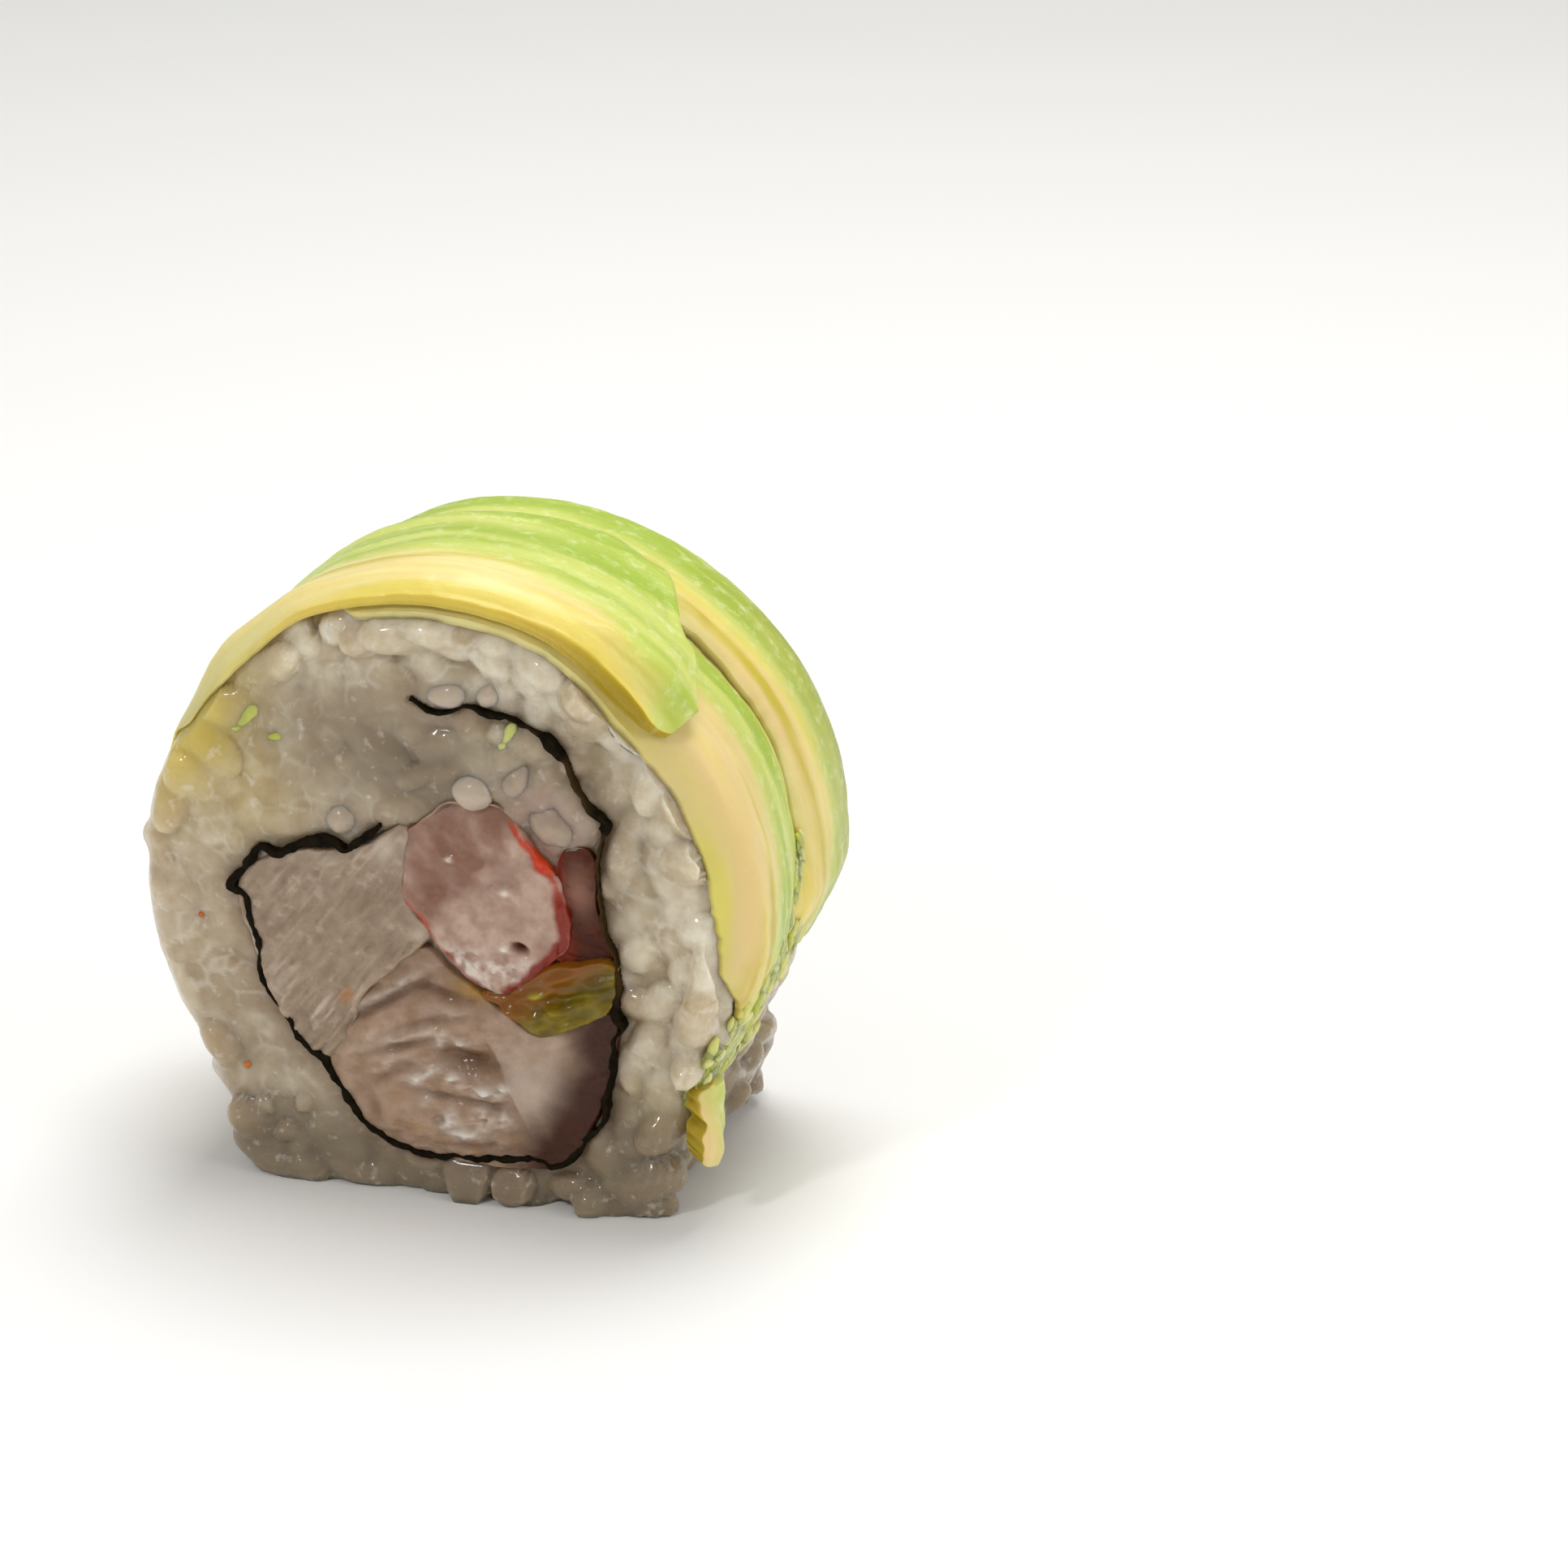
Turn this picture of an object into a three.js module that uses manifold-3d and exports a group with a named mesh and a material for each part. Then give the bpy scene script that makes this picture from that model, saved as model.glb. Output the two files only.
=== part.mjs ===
// One piece of an inside-out sushi roll. Rice surrounds a sheet of nori, which winds round octopus,
// shrimp and avocado, and three avocado slices are draped over the top.
// Millimetres, +Z up. The roll's axis lies along Y, and the cut face with the finer filling looks to -Y.
// The origin is on the resting plane, under the middle of the piece.
// Angles are in degrees round the roll's axis: 0 is to the right (+X) and 90 is straight up.
// Depth is the distance behind the front cut face.

import * as THREE from 'three';
import { mergeVertices } from 'three/addons/utils/BufferGeometryUtils.js';
import Module from 'manifold-3d';

const wasm = await Module();
wasm.setup();

// The roll as a whole
const ROLL_LENGTH = 22.5;
const AXIS_HEIGHT = 20.5;
const AXIS_OFFSET_X = -0.7;
const GAP = 0.3;
const BLOCK_SIZE = 60;

// The rice core, to the feet of the grains. It settled flat below, with two corners, and sags at the
// back left. Each settled place is a smooth rise of the radius, at the front face and at the back
const CORE_RADIUS = 20.1;
const CORE_SET_BACK = 0.8;
const CORE_RIM_DROP = 0.7;
const CORE_RIM_DEPTH = 2.2;
const CORE_SIDES = 60;
const SETTLED = [
  { angle: -57, spread: 11, frontRise: 4.6, backRise: 4.6 },
  { angle: -118, spread: 10, frontRise: 4.6, backRise: 4.6 },
  { angle: -88, spread: 14, frontRise: 1.8, backRise: 1.8 },
  { angle: 138, spread: 20, frontRise: 0, backRise: -0.7 },
];
const SAG_DEPTH = 8;

// One cooked grain of short-grain rice, and how far apart the grains lie
const GRAIN_LENGTH = 6.6;
const GRAIN_WIDTH = 3.4;
const GRAIN_HEIGHT = 2.6;
const GRAIN_SIDES = 6;
const GRAIN_RINGS = 4;
const GRAIN_LEAST_SIZE = 0.8;
const GRAIN_SIZE_SPREAD = 0.25;
const FACE_GRAINS = 60;
const FACE_GRAIN_TRIES = 90;
const GRAIN_SUNK = 0.6;
const RIM_CLEARANCE = 0.9;
const FILLING_CLEARANCE = 0.6;
const LOWEST_GRAIN = 1.7;
const SIDE_ROW_STEP = 4.2;
const SIDE_COLUMNS = 4;
const SIDE_GRAIN_SUNK = 0.35;
const ROW_STRAY = 0.4;
const COLUMN_STRAY = 0.3;
const GRAIN_SWAY = 0.7;
const GRAIN_DIP = 0.25;
const SEED = 20;

// The nori sheet and the way that it winds, from its inner end to its outer end, as x and z
const NORI_THICKNESS = 0.6;
const NORI_STEPS = 46;
const NORI_PATH = [
  [-3.5, 25.6], [-5.7, 24.1], [-7.3, 24.5], [-10.5, 23.3], [-11.9, 23.3], [-13.7, 20.7],
  [-12.7, 18.3], [-12.1, 14.6], [-10.2, 11.5], [-7.6, 8.6], [-4.8, 4.8], [-1.2, 3.1],
  [3.5, 3.1], [7.9, 3.2], [10.2, 5.1], [11.8, 8.3], [12.7, 13.3], [12.5, 18.0],
  [11.5, 22.3], [11.7, 27.0], [9.8, 30.6], [7.6, 33.2], [3.6, 34.5], [0.3, 34.2], [-1.2, 34.8],
];

// The filling's sections at the front face, as x and z, with the middle that their cut faces fan from
const OCTOPUS_UPPER = {
  sides: 24,
  middle: [-7.5, 18],
  outline: [
    [-13.4, 20.8], [-10.5, 23.3], [-6.0, 24.0], [-2.7, 25.6], [-3.0, 21.6], [-0.8, 18.4],
    [-3.2, 16.0], [-5.5, 13.6], [-6.4, 10.4], [-8.3, 9.1], [-10.9, 12.2], [-12.5, 16.3],
  ],
};
const OCTOPUS_LOWER = {
  sides: 26,
  middle: [3, 8.5],
  outline: [
    [-7.4, 9.0], [-5.8, 12.6], [-3.2, 15.6], [-0.7, 17.6], [1.6, 15.7], [4.6, 13.9], [6.8, 12.6],
    [9.3, 13.1], [12.6, 14.2], [12.3, 9.6], [10.6, 5.2], [7.9, 3.0], [1.0, 2.8], [-4.2, 4.1],
  ],
};
const SHRIMP = {
  sides: 22,
  middle: [3, 21.3],
  outline: [
    [-2.3, 25.4], [0.3, 27.5], [4.6, 27.8], [7.4, 24.4], [9.2, 20.5], [8.4, 18.2],
    [5.2, 15.1], [2.2, 16.1], [-0.6, 18.7], [-3.0, 21.0],
  ],
};
const FILLING_AVOCADO = {
  sides: 14,
  middle: [9, 15.4],
  outline: [[4.7, 14.1], [6.8, 16.8], [9.4, 17.8], [12.4, 18.1], [12.8, 15.3], [9.4, 13.0], [6.6, 12.3]],
};
const SHRIMP_STRIP = {
  sides: 14,
  middle: [10.4, 20.4],
  outline: [
    [9.3, 25.4], [11.2, 25.2], [11.6, 21.6], [12.4, 18.2], [9.9, 17.5], [8.6, 18.0], [9.2, 20.4], [8.6, 23.4],
  ],
};
const FILLING_SET_BACK = 0.3;
const FILLING_STATIONS = 2;
const FILLING_TURN = 7;
const FILLING_TURN_HEIGHT = 18;
const FACE_RINGS = [0.4, 0.8];
const ROOM_OVERRUN = 1;

// The avocado slices: key values along each slice as [angle, value], the rest is eased between them.
// front and back are the depths of the two long edges, lift is the height over the rice, tuck raises the
// back edge over the next slice, edge is the cut front edge's thickness and crown the middle's.
const SLICE_SEAT = 0.5;
const SLICE_STEP = 6;
const END_CUT = 1.2;
const SLICE_ACROSS = [-1, -0.8, -0.45, 0, 0.45, 0.8, 1];
const SLICE_UNDER = [1, 0.7, 0, -0.7, -1];
const BACK_EDGE_SHARE = 0.45;
const END_THINNING = 0.5;
const ROOM_END_DEGREES = 1;
const LEVEL = [[0, 0]];
const SLICE_SIDE = {
  start: 126,
  end: -21,
  roundStart: 14,
  roundEnd: 14,
  front: [[126, 0.2], [120, -0.1], [45, -0.1], [30, 0.2], [0, 0.4], [-21, 2.2]],
  back: [[126, 9.5], [110, 11.0], [45, 12.4], [25, 13.4], [10, 12.6], [-5, 10.8], [-21, 8.6]],
  lift: LEVEL,
  tuck: LEVEL,
  edge: [[126, 0.4], [110, 0.6], [45, 0.6], [30, 0.5], [-21, 0.4]],
  crown: [[126, 0.5], [110, 0.7], [50, 0.7], [32, 1.4], [0, 1.4], [-21, 0.9]],
};
const SLICE_FRONT = {
  start: 168,
  end: 37.5,
  roundStart: 20,
  roundEnd: 4,
  front: [[168, 3.0], [150, 0.2], [115, -0.3], [60, -0.3], [44, 0.1], [37.5, 1.2]],
  back: [[168, 9.5], [150, 12.8], [110, 14.6], [70, 15.2], [50, 15.8], [37.5, 14.6]],
  lift: [[168, 0], [148, 0], [128, 1.1], [55, 1.2], [37.5, 1.85]],
  tuck: [[168, 0], [148, 0], [128, 0.3], [90, 0.4], [60, 0.8], [37.5, 0.8]],
  edge: [[168, 0.4], [110, 0.6], [75, 0.8], [50, 1.8], [37.5, 1.6]],
  crown: [[168, 0.5], [140, 0.6], [110, 1.0], [90, 1.3], [50, 1.6], [37.5, 1.1]],
};
const SLICE_BACK = {
  start: 164,
  end: -15,
  roundStart: 14,
  roundEnd: 14,
  front: [[164, 14.2], [150, 13.4], [120, 12.9], [60, 13.4], [25, 13.8], [10, 13.0], [-5, 11.2], [-15, 11.6]],
  back: [[164, 19.0], [150, 21.8], [120, 22.7], [20, 22.8], [0, 22.0], [-15, 19.0]],
  lift: LEVEL,
  tuck: LEVEL,
  edge: [[164, 0.4], [100, 0.6], [40, 0.8], [-15, 0.6]],
  crown: [[164, 0.5], [130, 0.8], [95, 1.2], [60, 1.5], [20, 2.1], [0, 2.1], [-15, 1.2]],
};
const SCRAP = {
  start: -29,
  end: -41,
  roundStart: 4,
  roundEnd: 4,
  front: [[-29, 0.6], [-41, -0.2]],
  back: [[-29, 3.4], [-41, 3.0]],
  lift: [[-29, 0.1], [-41, 1.3]],
  tuck: LEVEL,
  edge: [[-29, 0.8], [-41, 1.4]],
  crown: [[-29, 1.3], [-41, 2.0]],
};

// Colours, roughness and metalness as seen
const RICE_WHITE = { color: 0xd8d0c2, roughness: 0.35, metalness: 0 };
const NORI_GREEN = { color: 0x1d1a0c, roughness: 0.6, metalness: 0 };
const OCTOPUS_PINK = { color: 0xc4b0a2, roughness: 0.45, metalness: 0 };
const OCTOPUS_MAUVE = { color: 0xb39a93, roughness: 0.45, metalness: 0 };
const SHRIMP_WHITE = { color: 0xcfaea2, roughness: 0.35, metalness: 0 };
const SHRIMP_RED = { color: 0x7c3a26, roughness: 0.35, metalness: 0 };
const AVOCADO_OLIVE = { color: 0x8c8026, roughness: 0.5, metalness: 0 };
const AVOCADO_YELLOW = { color: 0xe2dc86, roughness: 0.5, metalness: 0 };
const AVOCADO_GREEN = { color: 0xc0d468, roughness: 0.5, metalness: 0 };

const front = -ROLL_LENGTH / 2;
const radians = THREE.MathUtils.degToRad;

/** Random numbers from 0 to 1 that are the same on every run. */
function seededRandom(seed) {
  let state = seed;
  return () => {
    state = (state + 0x6d2b79f5) | 0;
    let mixed = Math.imul(state ^ (state >>> 15), 1 | state);
    mixed = (mixed + Math.imul(mixed ^ (mixed >>> 7), 61 | mixed)) ^ mixed;
    return ((mixed ^ (mixed >>> 14)) >>> 0) / 4294967296;
  };
}

/** The value at an angle, eased between key values that are given as [angle, value], angles falling. */
function along(keys, angle) {
  const next = keys.findIndex((key) => key[0] <= angle);
  if (next === 0) {
    return keys[0][1];
  }
  if (next < 0) {
    return keys[keys.length - 1][1];
  }
  const [fromAngle, fromValue] = keys[next - 1];
  const [toAngle, toValue] = keys[next];
  const share = THREE.MathUtils.smoothstep(fromAngle - angle, 0, fromAngle - toAngle);
  return THREE.MathUtils.lerp(fromValue, toValue, share);
}

/** A point from its radius and angle round the roll's axis and its depth behind the front face. */
function onRoll(radius, angle, depth) {
  const turn = radians(angle);
  return new THREE.Vector3(radius * Math.cos(turn), front + depth, AXIS_HEIGHT + radius * Math.sin(turn));
}

/** How much the core draws in towards a cut face: 1 at the face, 0 from CORE_RIM_DEPTH on. */
function rimShare(depth) {
  const fromFace = Math.max(Math.min(depth, ROLL_LENGTH - depth), 0);
  return (1 - Math.min(fromFace / CORE_RIM_DEPTH, 1)) ** 2;
}

/** Radius of the rice core: a circle with settled places, drawn in at the faces and flat below. */
function coreRadius(angle, depth) {
  const behind = THREE.MathUtils.smoothstep(depth, 0, SAG_DEPTH);
  let radius = CORE_RADIUS - CORE_RIM_DROP * rimShare(depth);
  for (const place of SETTLED) {
    const away = THREE.MathUtils.euclideanModulo(angle - place.angle + 180, 360) - 180;
    const rise = THREE.MathUtils.lerp(place.frontRise, place.backRise, behind);
    radius += rise * Math.exp(-0.5 * (away / place.spread) ** 2);
  }
  const sine = Math.sin(radians(angle));
  return sine < 0 ? Math.min(radius, AXIS_HEIGHT / -sine) : radius;
}

/** Closed surface through rings of equal length, with a fan to the middle of each end ring. */
function loft(rings) {
  const count = rings[0].length;
  const middle = (ring) => ring.reduce((sum, p) => sum.add(p), new THREE.Vector3()).divideScalar(count);
  const points = [...rings.flat(), middle(rings[0]), middle(rings[rings.length - 1])];
  const firstMiddle = rings.length * count;
  const lastRow = firstMiddle - count;
  const index = [];
  for (let i = 0; i < count; i += 1) {
    const j = (i + 1) % count;
    index.push(firstMiddle, j, i, firstMiddle + 1, lastRow + i, lastRow + j);
    for (let row = 0; row < lastRow; row += count) {
      index.push(row + i, row + j, row + count + j, row + i, row + count + j, row + count + i);
    }
  }
  return new THREE.BufferGeometry().setFromPoints(points).setIndex(index);
}

/** A closed geometry as a solid that can be joined and cut. */
function solidOf(geometry) {
  const bare = geometry.clone();
  bare.deleteAttribute('normal');
  bare.deleteAttribute('uv');
  const merged = mergeVertices(bare);
  return new wasm.Manifold(new wasm.Mesh({
    numProp: 3,
    vertProperties: merged.getAttribute('position').array,
    triVerts: Uint32Array.from(merged.getIndex().array),
  }));
}

/** The largest body of a solid, without the scraps that cutting left loose. */
function largestBody(solid) {
  const bodies = solid.decompose();
  return bodies.reduce((best, body) => (body.volume() > best.volume() ? body : best));
}

/** A solid's surface as a geometry. */
function geometryOf(solid) {
  const mesh = solid.getMesh();
  const geometry = new THREE.BufferGeometry();
  geometry.setAttribute('position', new THREE.BufferAttribute(mesh.vertProperties, 3));
  geometry.setIndex(new THREE.BufferAttribute(mesh.triVerts, 1));
  geometry.computeVertexNormals();
  return geometry;
}

/** Cuts a solid by its neighbours' grown forms and keeps what hangs together. */
function fitted(solid, neighbours) {
  return largestBody(neighbours.reduce((rest, neighbour) => rest.subtract(neighbour), solid));
}

/** The filling turns a little from the front face to the back one: moves a point by that turn. */
function turned(point, direction = 1) {
  const turn = (direction * radians(FILLING_TURN) * (point.y - front)) / ROLL_LENGTH;
  const x = point.x;
  const z = point.z - FILLING_TURN_HEIGHT;
  return new THREE.Vector3(
    x * Math.cos(turn) - z * Math.sin(turn),
    point.y,
    FILLING_TURN_HEIGHT + x * Math.sin(turn) + z * Math.cos(turn),
  );
}

/** Lumps of a torn or cut face at a point of the section, up to 1 either way. */
function lumps(x, z) {
  return 0.5 * Math.sin(0.9 * x + 0.6 * z) + 0.3 * Math.sin(1.7 * x - 1.1 * z + 1) + 0.2 * Math.cos(2.3 * z);
}

/** Points of a smooth closed outline, pushed outwards by grow. */
function outlinePoints({ outline, sides }, grow) {
  const curve = new THREE.CatmullRomCurve3(outline.map(([x, z]) => new THREE.Vector3(x, 0, z)), true);
  return Array.from({ length: sides }, (_, i) => {
    const share = i / sides;
    const forward = curve.getTangentAt(share);
    const point = curve.getPointAt(share);
    return new THREE.Vector3(point.x - forward.z * grow, 0, point.z + forward.x * grow);
  });
}

/** A run of filling from face to face: its outline along the roll, closed by two lumpy cut faces. */
function filling(section, { relief = 0, bulge = 0, grow = 0 } = {}) {
  const { middle } = section;
  const edge = outlinePoints(section, grow);
  const reach = grow > 0 ? -ROOM_OVERRUN : FILLING_SET_BACK;
  const ring = (share, depth, outward) => edge.map((point) => {
    const x = THREE.MathUtils.lerp(middle[0], point.x, share);
    const z = THREE.MathUtils.lerp(middle[1], point.z, share);
    const proud = outward * (1 - share ** 2) * (bulge + relief * lumps(x, z));
    return turned(new THREE.Vector3(x, front + depth + proud, z));
  });
  const depths = Array.from({ length: FILLING_STATIONS + 1 }, (_, k) => (
    THREE.MathUtils.lerp(reach, ROLL_LENGTH - reach, k / FILLING_STATIONS)
  ));
  return solidOf(loft([
    ...FACE_RINGS.map((share) => ring(share, reach, -1)),
    ...depths.map((depth) => ring(1, depth, 0)),
    ...FACE_RINGS.toReversed().map((share) => ring(share, ROLL_LENGTH - reach, 1)),
  ]));
}

/** The nori sheet: a band on both sides of its winding path, carried through the roll. */
function nori(grow = 0) {
  const curve = new THREE.CatmullRomCurve3(NORI_PATH.map(([x, z]) => new THREE.Vector3(x, 0, z)));
  const reach = grow > 0 ? -ROOM_OVERRUN : FILLING_SET_BACK;
  const half = NORI_THICKNESS / 2 + grow;
  const sides = [[], []];
  for (let i = 0; i <= NORI_STEPS; i += 1) {
    const share = i / NORI_STEPS;
    const forward = curve.getTangentAt(share);
    const overrun = grow * ((i === NORI_STEPS) - (i === 0));
    const point = curve.getPointAt(share).addScaledVector(forward, overrun);
    sides[0].push(new THREE.Vector2(point.x - forward.z * half, point.z + forward.x * half));
    sides[1].push(new THREE.Vector2(point.x + forward.z * half, point.z - forward.x * half));
  }
  const band = new THREE.Shape([...sides[0], ...sides[1].reverse()]);
  const depth = ROLL_LENGTH - 2 * reach;
  const geometry = new THREE.ExtrudeGeometry(band, { depth, steps: FILLING_STATIONS, bevelEnabled: false });
  geometry.rotateX(Math.PI / 2);
  geometry.translate(0, front + ROLL_LENGTH - reach, 0);
  const position = geometry.getAttribute('position');
  for (let i = 0; i < position.count; i += 1) {
    const moved = turned(new THREE.Vector3().fromBufferAttribute(position, i));
    position.setXYZ(i, moved.x, moved.y, moved.z);
  }
  return solidOf(geometry);
}

/** One ring of an avocado slice at an angle: a crowned outer side over a seat that follows the rice. */
function sliceRing(shape, angle, endShare, grow) {
  const frontDepth = along(shape.front, angle);
  const middleDepth = (frontDepth + along(shape.back, angle)) / 2;
  const wide = (middleDepth - frontDepth) * endShare + grow;
  const edge = along(shape.edge, angle);
  const crown = along(shape.crown, angle);
  const thinned = THREE.MathUtils.lerp(END_THINNING, 1, endShare);
  const placed = (across, height) => {
    const depth = middleDepth + across * wide;
    const tucked = along(shape.tuck, angle) * THREE.MathUtils.smoothstep(across, 0.5, 0.9);
    const seat = coreRadius(angle, depth) + SLICE_SEAT + along(shape.lift, angle) + tucked;
    return onRoll(seat + height, angle, depth);
  };
  const outer = SLICE_ACROSS.map((across) => {
    const blunt = across < 0 ? edge : BACK_EDGE_SHARE * edge;
    return placed(across, (blunt + (crown - blunt) * (1 - across ** 4)) * thinned + grow);
  });
  const inner = SLICE_UNDER.map((across) => placed(across, -grow));
  return [...outer, ...inner].reverse();
}

/** An avocado slice draped round the roll from its start angle to its end angle, with rounded ends. */
function slice(shape, grow = 0) {
  const steps = Math.round((shape.start - shape.end) / SLICE_STEP);
  const rings = [];
  for (let i = 0; i <= steps; i += 1) {
    const angle = THREE.MathUtils.lerp(shape.start, shape.end, i / steps);
    const fromStart = Math.min((shape.start - angle + END_CUT) / shape.roundStart, 1);
    const fromEnd = Math.min((angle - shape.end + END_CUT) / shape.roundEnd, 1);
    const endShare = Math.sqrt(1 - (1 - Math.min(fromStart, fromEnd)) ** 2);
    const overrun = Math.sign(grow) * ROOM_END_DEGREES * ((i === 0) - (i === steps));
    rings.push(sliceRing(shape, angle + overrun, endShare, grow));
  }
  return solidOf(loft(rings));
}

/** The rice core: the roll's outline from face to face, set back by the height of the grains. */
function core() {
  const rimDepths = [CORE_SET_BACK, CORE_RIM_DEPTH / 2, CORE_RIM_DEPTH];
  const depths = [...rimDepths, SAG_DEPTH, ...rimDepths.toReversed().map((depth) => ROLL_LENGTH - depth)];
  return solidOf(loft(depths.map((depth) => Array.from({ length: CORE_SIDES }, (_, i) => {
    const angle = -360 * (i / CORE_SIDES);
    return onRoll(coreRadius(angle, depth), angle, depth);
  }))));
}

/** One grain at a place, lying along a direction, with its flatter side towards outward. */
function grain(place, lengthways, outward, size) {
  const long = lengthways.clone().normalize();
  const across = new THREE.Vector3().crossVectors(long, outward).normalize();
  const out = new THREE.Vector3().crossVectors(long, across);
  const geometry = new THREE.SphereGeometry(0.5, GRAIN_SIDES, GRAIN_RINGS);
  geometry.scale(GRAIN_WIDTH * size, GRAIN_HEIGHT * size, GRAIN_LENGTH * size);
  geometry.applyMatrix4(new THREE.Matrix4().makeBasis(across, out, long));
  geometry.translate(place.x, place.y, place.z);
  return solidOf(geometry);
}

/** A test for a point inside a filling's section or close round it. */
function insideSection(section) {
  const points = outlinePoints(section, FILLING_CLEARANCE);
  return (x, z) => points.reduce((inside, a, i) => {
    const b = points[(i + 1) % points.length];
    const crosses = (a.z > z) !== (b.z > z) && x < a.x + ((z - a.z) * (b.x - a.x)) / (b.z - a.z);
    return crosses ? !inside : inside;
  }, false);
}

/** How far a point of a cut face lies inside the core's rim. */
function rimClearance(x, z) {
  const angle = THREE.MathUtils.radToDeg(Math.atan2(z - AXIS_HEIGHT, x));
  return coreRadius(angle, 0) - Math.hypot(x, z - AXIS_HEIGHT);
}

/** Middles of the grains on one cut face: each new one takes the emptiest of many random places. */
function facePlaces(random, depth) {
  const fillings = [OCTOPUS_UPPER, OCTOPUS_LOWER, SHRIMP, FILLING_AVOCADO, SHRIMP_STRIP].map(insideSection);
  const top = AXIS_HEIGHT + CORE_RADIUS;
  const places = [];
  while (places.length < FACE_GRAINS) {
    let best = null;
    for (let k = 0; k < FACE_GRAIN_TRIES; k += 1) {
      const x = THREE.MathUtils.lerp(-CORE_RADIUS, CORE_RADIUS, random());
      const z = THREE.MathUtils.lerp(LOWEST_GRAIN, top, random());
      const unturned = turned(new THREE.Vector3(x, front + depth, z), -1);
      const isOnFilling = fillings.some((isInside) => isInside(unturned.x, unturned.z));
      const room = Math.min(...places.map((other) => Math.hypot(other.x - x, other.z - z)), BLOCK_SIZE);
      if (!isOnFilling && rimClearance(x, z) > RIM_CLEARANCE && (best === null || room > best.room)) {
        best = { x, z, room };
      }
    }
    places.push(best);
  }
  return places;
}

/** Direction of a face grain, in the plane of the face: along a near rim, else across to its neighbour. */
function faceLean(spot, places) {
  if (rimClearance(spot.x, spot.z) < GRAIN_LENGTH / 2) {
    return Math.atan2(spot.z - AXIS_HEIGHT, spot.x) + Math.PI / 2;
  }
  const apart = (other) => Math.hypot(other.x - spot.x, other.z - spot.z);
  const others = places.filter((other) => other !== spot);
  const near = others.reduce((best, other) => (apart(other) < apart(best) ? other : best));
  return Math.atan2(near.z - spot.z, near.x - spot.x) + Math.PI / 2;
}

/** The size of one grain, as a share of the full one. */
function grainSize(random) {
  return GRAIN_LEAST_SIZE + GRAIN_SIZE_SPREAD * random();
}

/** Grains over one cut face, which looks along outwardY. */
function faceGrains(random, depth, outwardY) {
  const places = facePlaces(random, depth);
  const outward = new THREE.Vector3(0, outwardY, 0);
  return places.map((spot) => {
    const lean = faceLean(spot, places) + (random() - 0.5) * GRAIN_SWAY;
    const dip = (random() - 0.5) * GRAIN_DIP;
    const place = new THREE.Vector3(spot.x, front + depth - outwardY * GRAIN_SUNK * random(), spot.z);
    return grain(place, new THREE.Vector3(Math.cos(lean), dip, Math.sin(lean)), outward, grainSize(random));
  });
}

/** Grains over the side that no avocado covers, in staggered rows, lying roughly along the roll. */
function sideGrains(random) {
  const rowAngle = THREE.MathUtils.radToDeg(SIDE_ROW_STEP / CORE_RADIUS);
  const columnStep = (ROLL_LENGTH - 2 * CORE_SET_BACK) / SIDE_COLUMNS;
  const rows = Math.floor((360 - SLICE_FRONT.start + SLICE_SIDE.end) / rowAngle);
  const axis = onRoll(0, 0, 0);
  const grains = [];
  for (let row = 0; row < rows; row += 1) {
    for (let column = 0; column < SIDE_COLUMNS; column += 1) {
      const angle = SLICE_FRONT.start + (row + 0.5 + ROW_STRAY * random()) * rowAngle;
      const stagger = row % 2 === 0 ? 0.25 : 0.75;
      const depth = CORE_SET_BACK + (column + stagger + COLUMN_STRAY * (random() - 0.5)) * columnStep;
      const lean = (random() - 0.5) * 2 * GRAIN_SWAY;
      const place = onRoll(coreRadius(angle, depth) - SIDE_GRAIN_SUNK, angle, depth);
      const around = onRoll(1, angle + 90, 0).sub(axis);
      const lengthways = around.multiplyScalar(Math.sin(lean)).setY(Math.cos(lean));
      const size = grainSize(random);
      if (place.z > LOWEST_GRAIN) {
        grains.push(grain(place, lengthways, onRoll(1, angle, 0).sub(axis), size));
      }
    }
  }
  return grains;
}

/** Everything above the resting plane, as a block to keep. */
function abovePlane() {
  return solidOf(new THREE.BoxGeometry(BLOCK_SIZE, BLOCK_SIZE, BLOCK_SIZE).translate(0, 0, BLOCK_SIZE / 2));
}

/** The rice: the core with the grains fused on, cut round everything that it touches. */
function rice(neighbours) {
  const random = seededRandom(SEED);
  const whole = wasm.Manifold.union([
    core(),
    ...faceGrains(random, CORE_SET_BACK, -1),
    ...faceGrains(random, ROLL_LENGTH - CORE_SET_BACK, 1),
    ...sideGrains(random),
  ]);
  return fitted(whole.intersect(abovePlane()), neighbours);
}

const group = new THREE.Group();

/** Adds a named piece to the group. */
function addPiece(name, solid, finish) {
  const mesh = new THREE.Mesh(geometryOf(solid), new THREE.MeshStandardMaterial(finish));
  mesh.name = name;
  group.add(mesh);
}

// The nori and the filling, each cut round those before it
const noriRoom = nori(GAP);
const octopusUpperRoom = filling(OCTOPUS_UPPER, { grow: GAP });
const octopusLowerRoom = filling(OCTOPUS_LOWER, { grow: GAP });
const shrimpRoom = filling(SHRIMP, { grow: GAP });
const avocadoRoom = filling(FILLING_AVOCADO, { grow: GAP });
const stripRoom = filling(SHRIMP_STRIP, { grow: GAP });
const octopusUpper = filling(OCTOPUS_UPPER, { relief: 0.35, bulge: 0.1 });
const octopusLower = filling(OCTOPUS_LOWER, { relief: 0.8, bulge: -0.5 });
const shrimp = filling(SHRIMP, { relief: 0.3, bulge: 0.5 });
const fillingAvocado = filling(FILLING_AVOCADO, { relief: 0.3, bulge: 0.4 });
const shrimpStrip = filling(SHRIMP_STRIP, { relief: 0.1, bulge: -0.2 });
addPiece('nori', nori(), NORI_GREEN);
addPiece('octopus_upper', fitted(octopusUpper, [noriRoom]), OCTOPUS_PINK);
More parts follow.
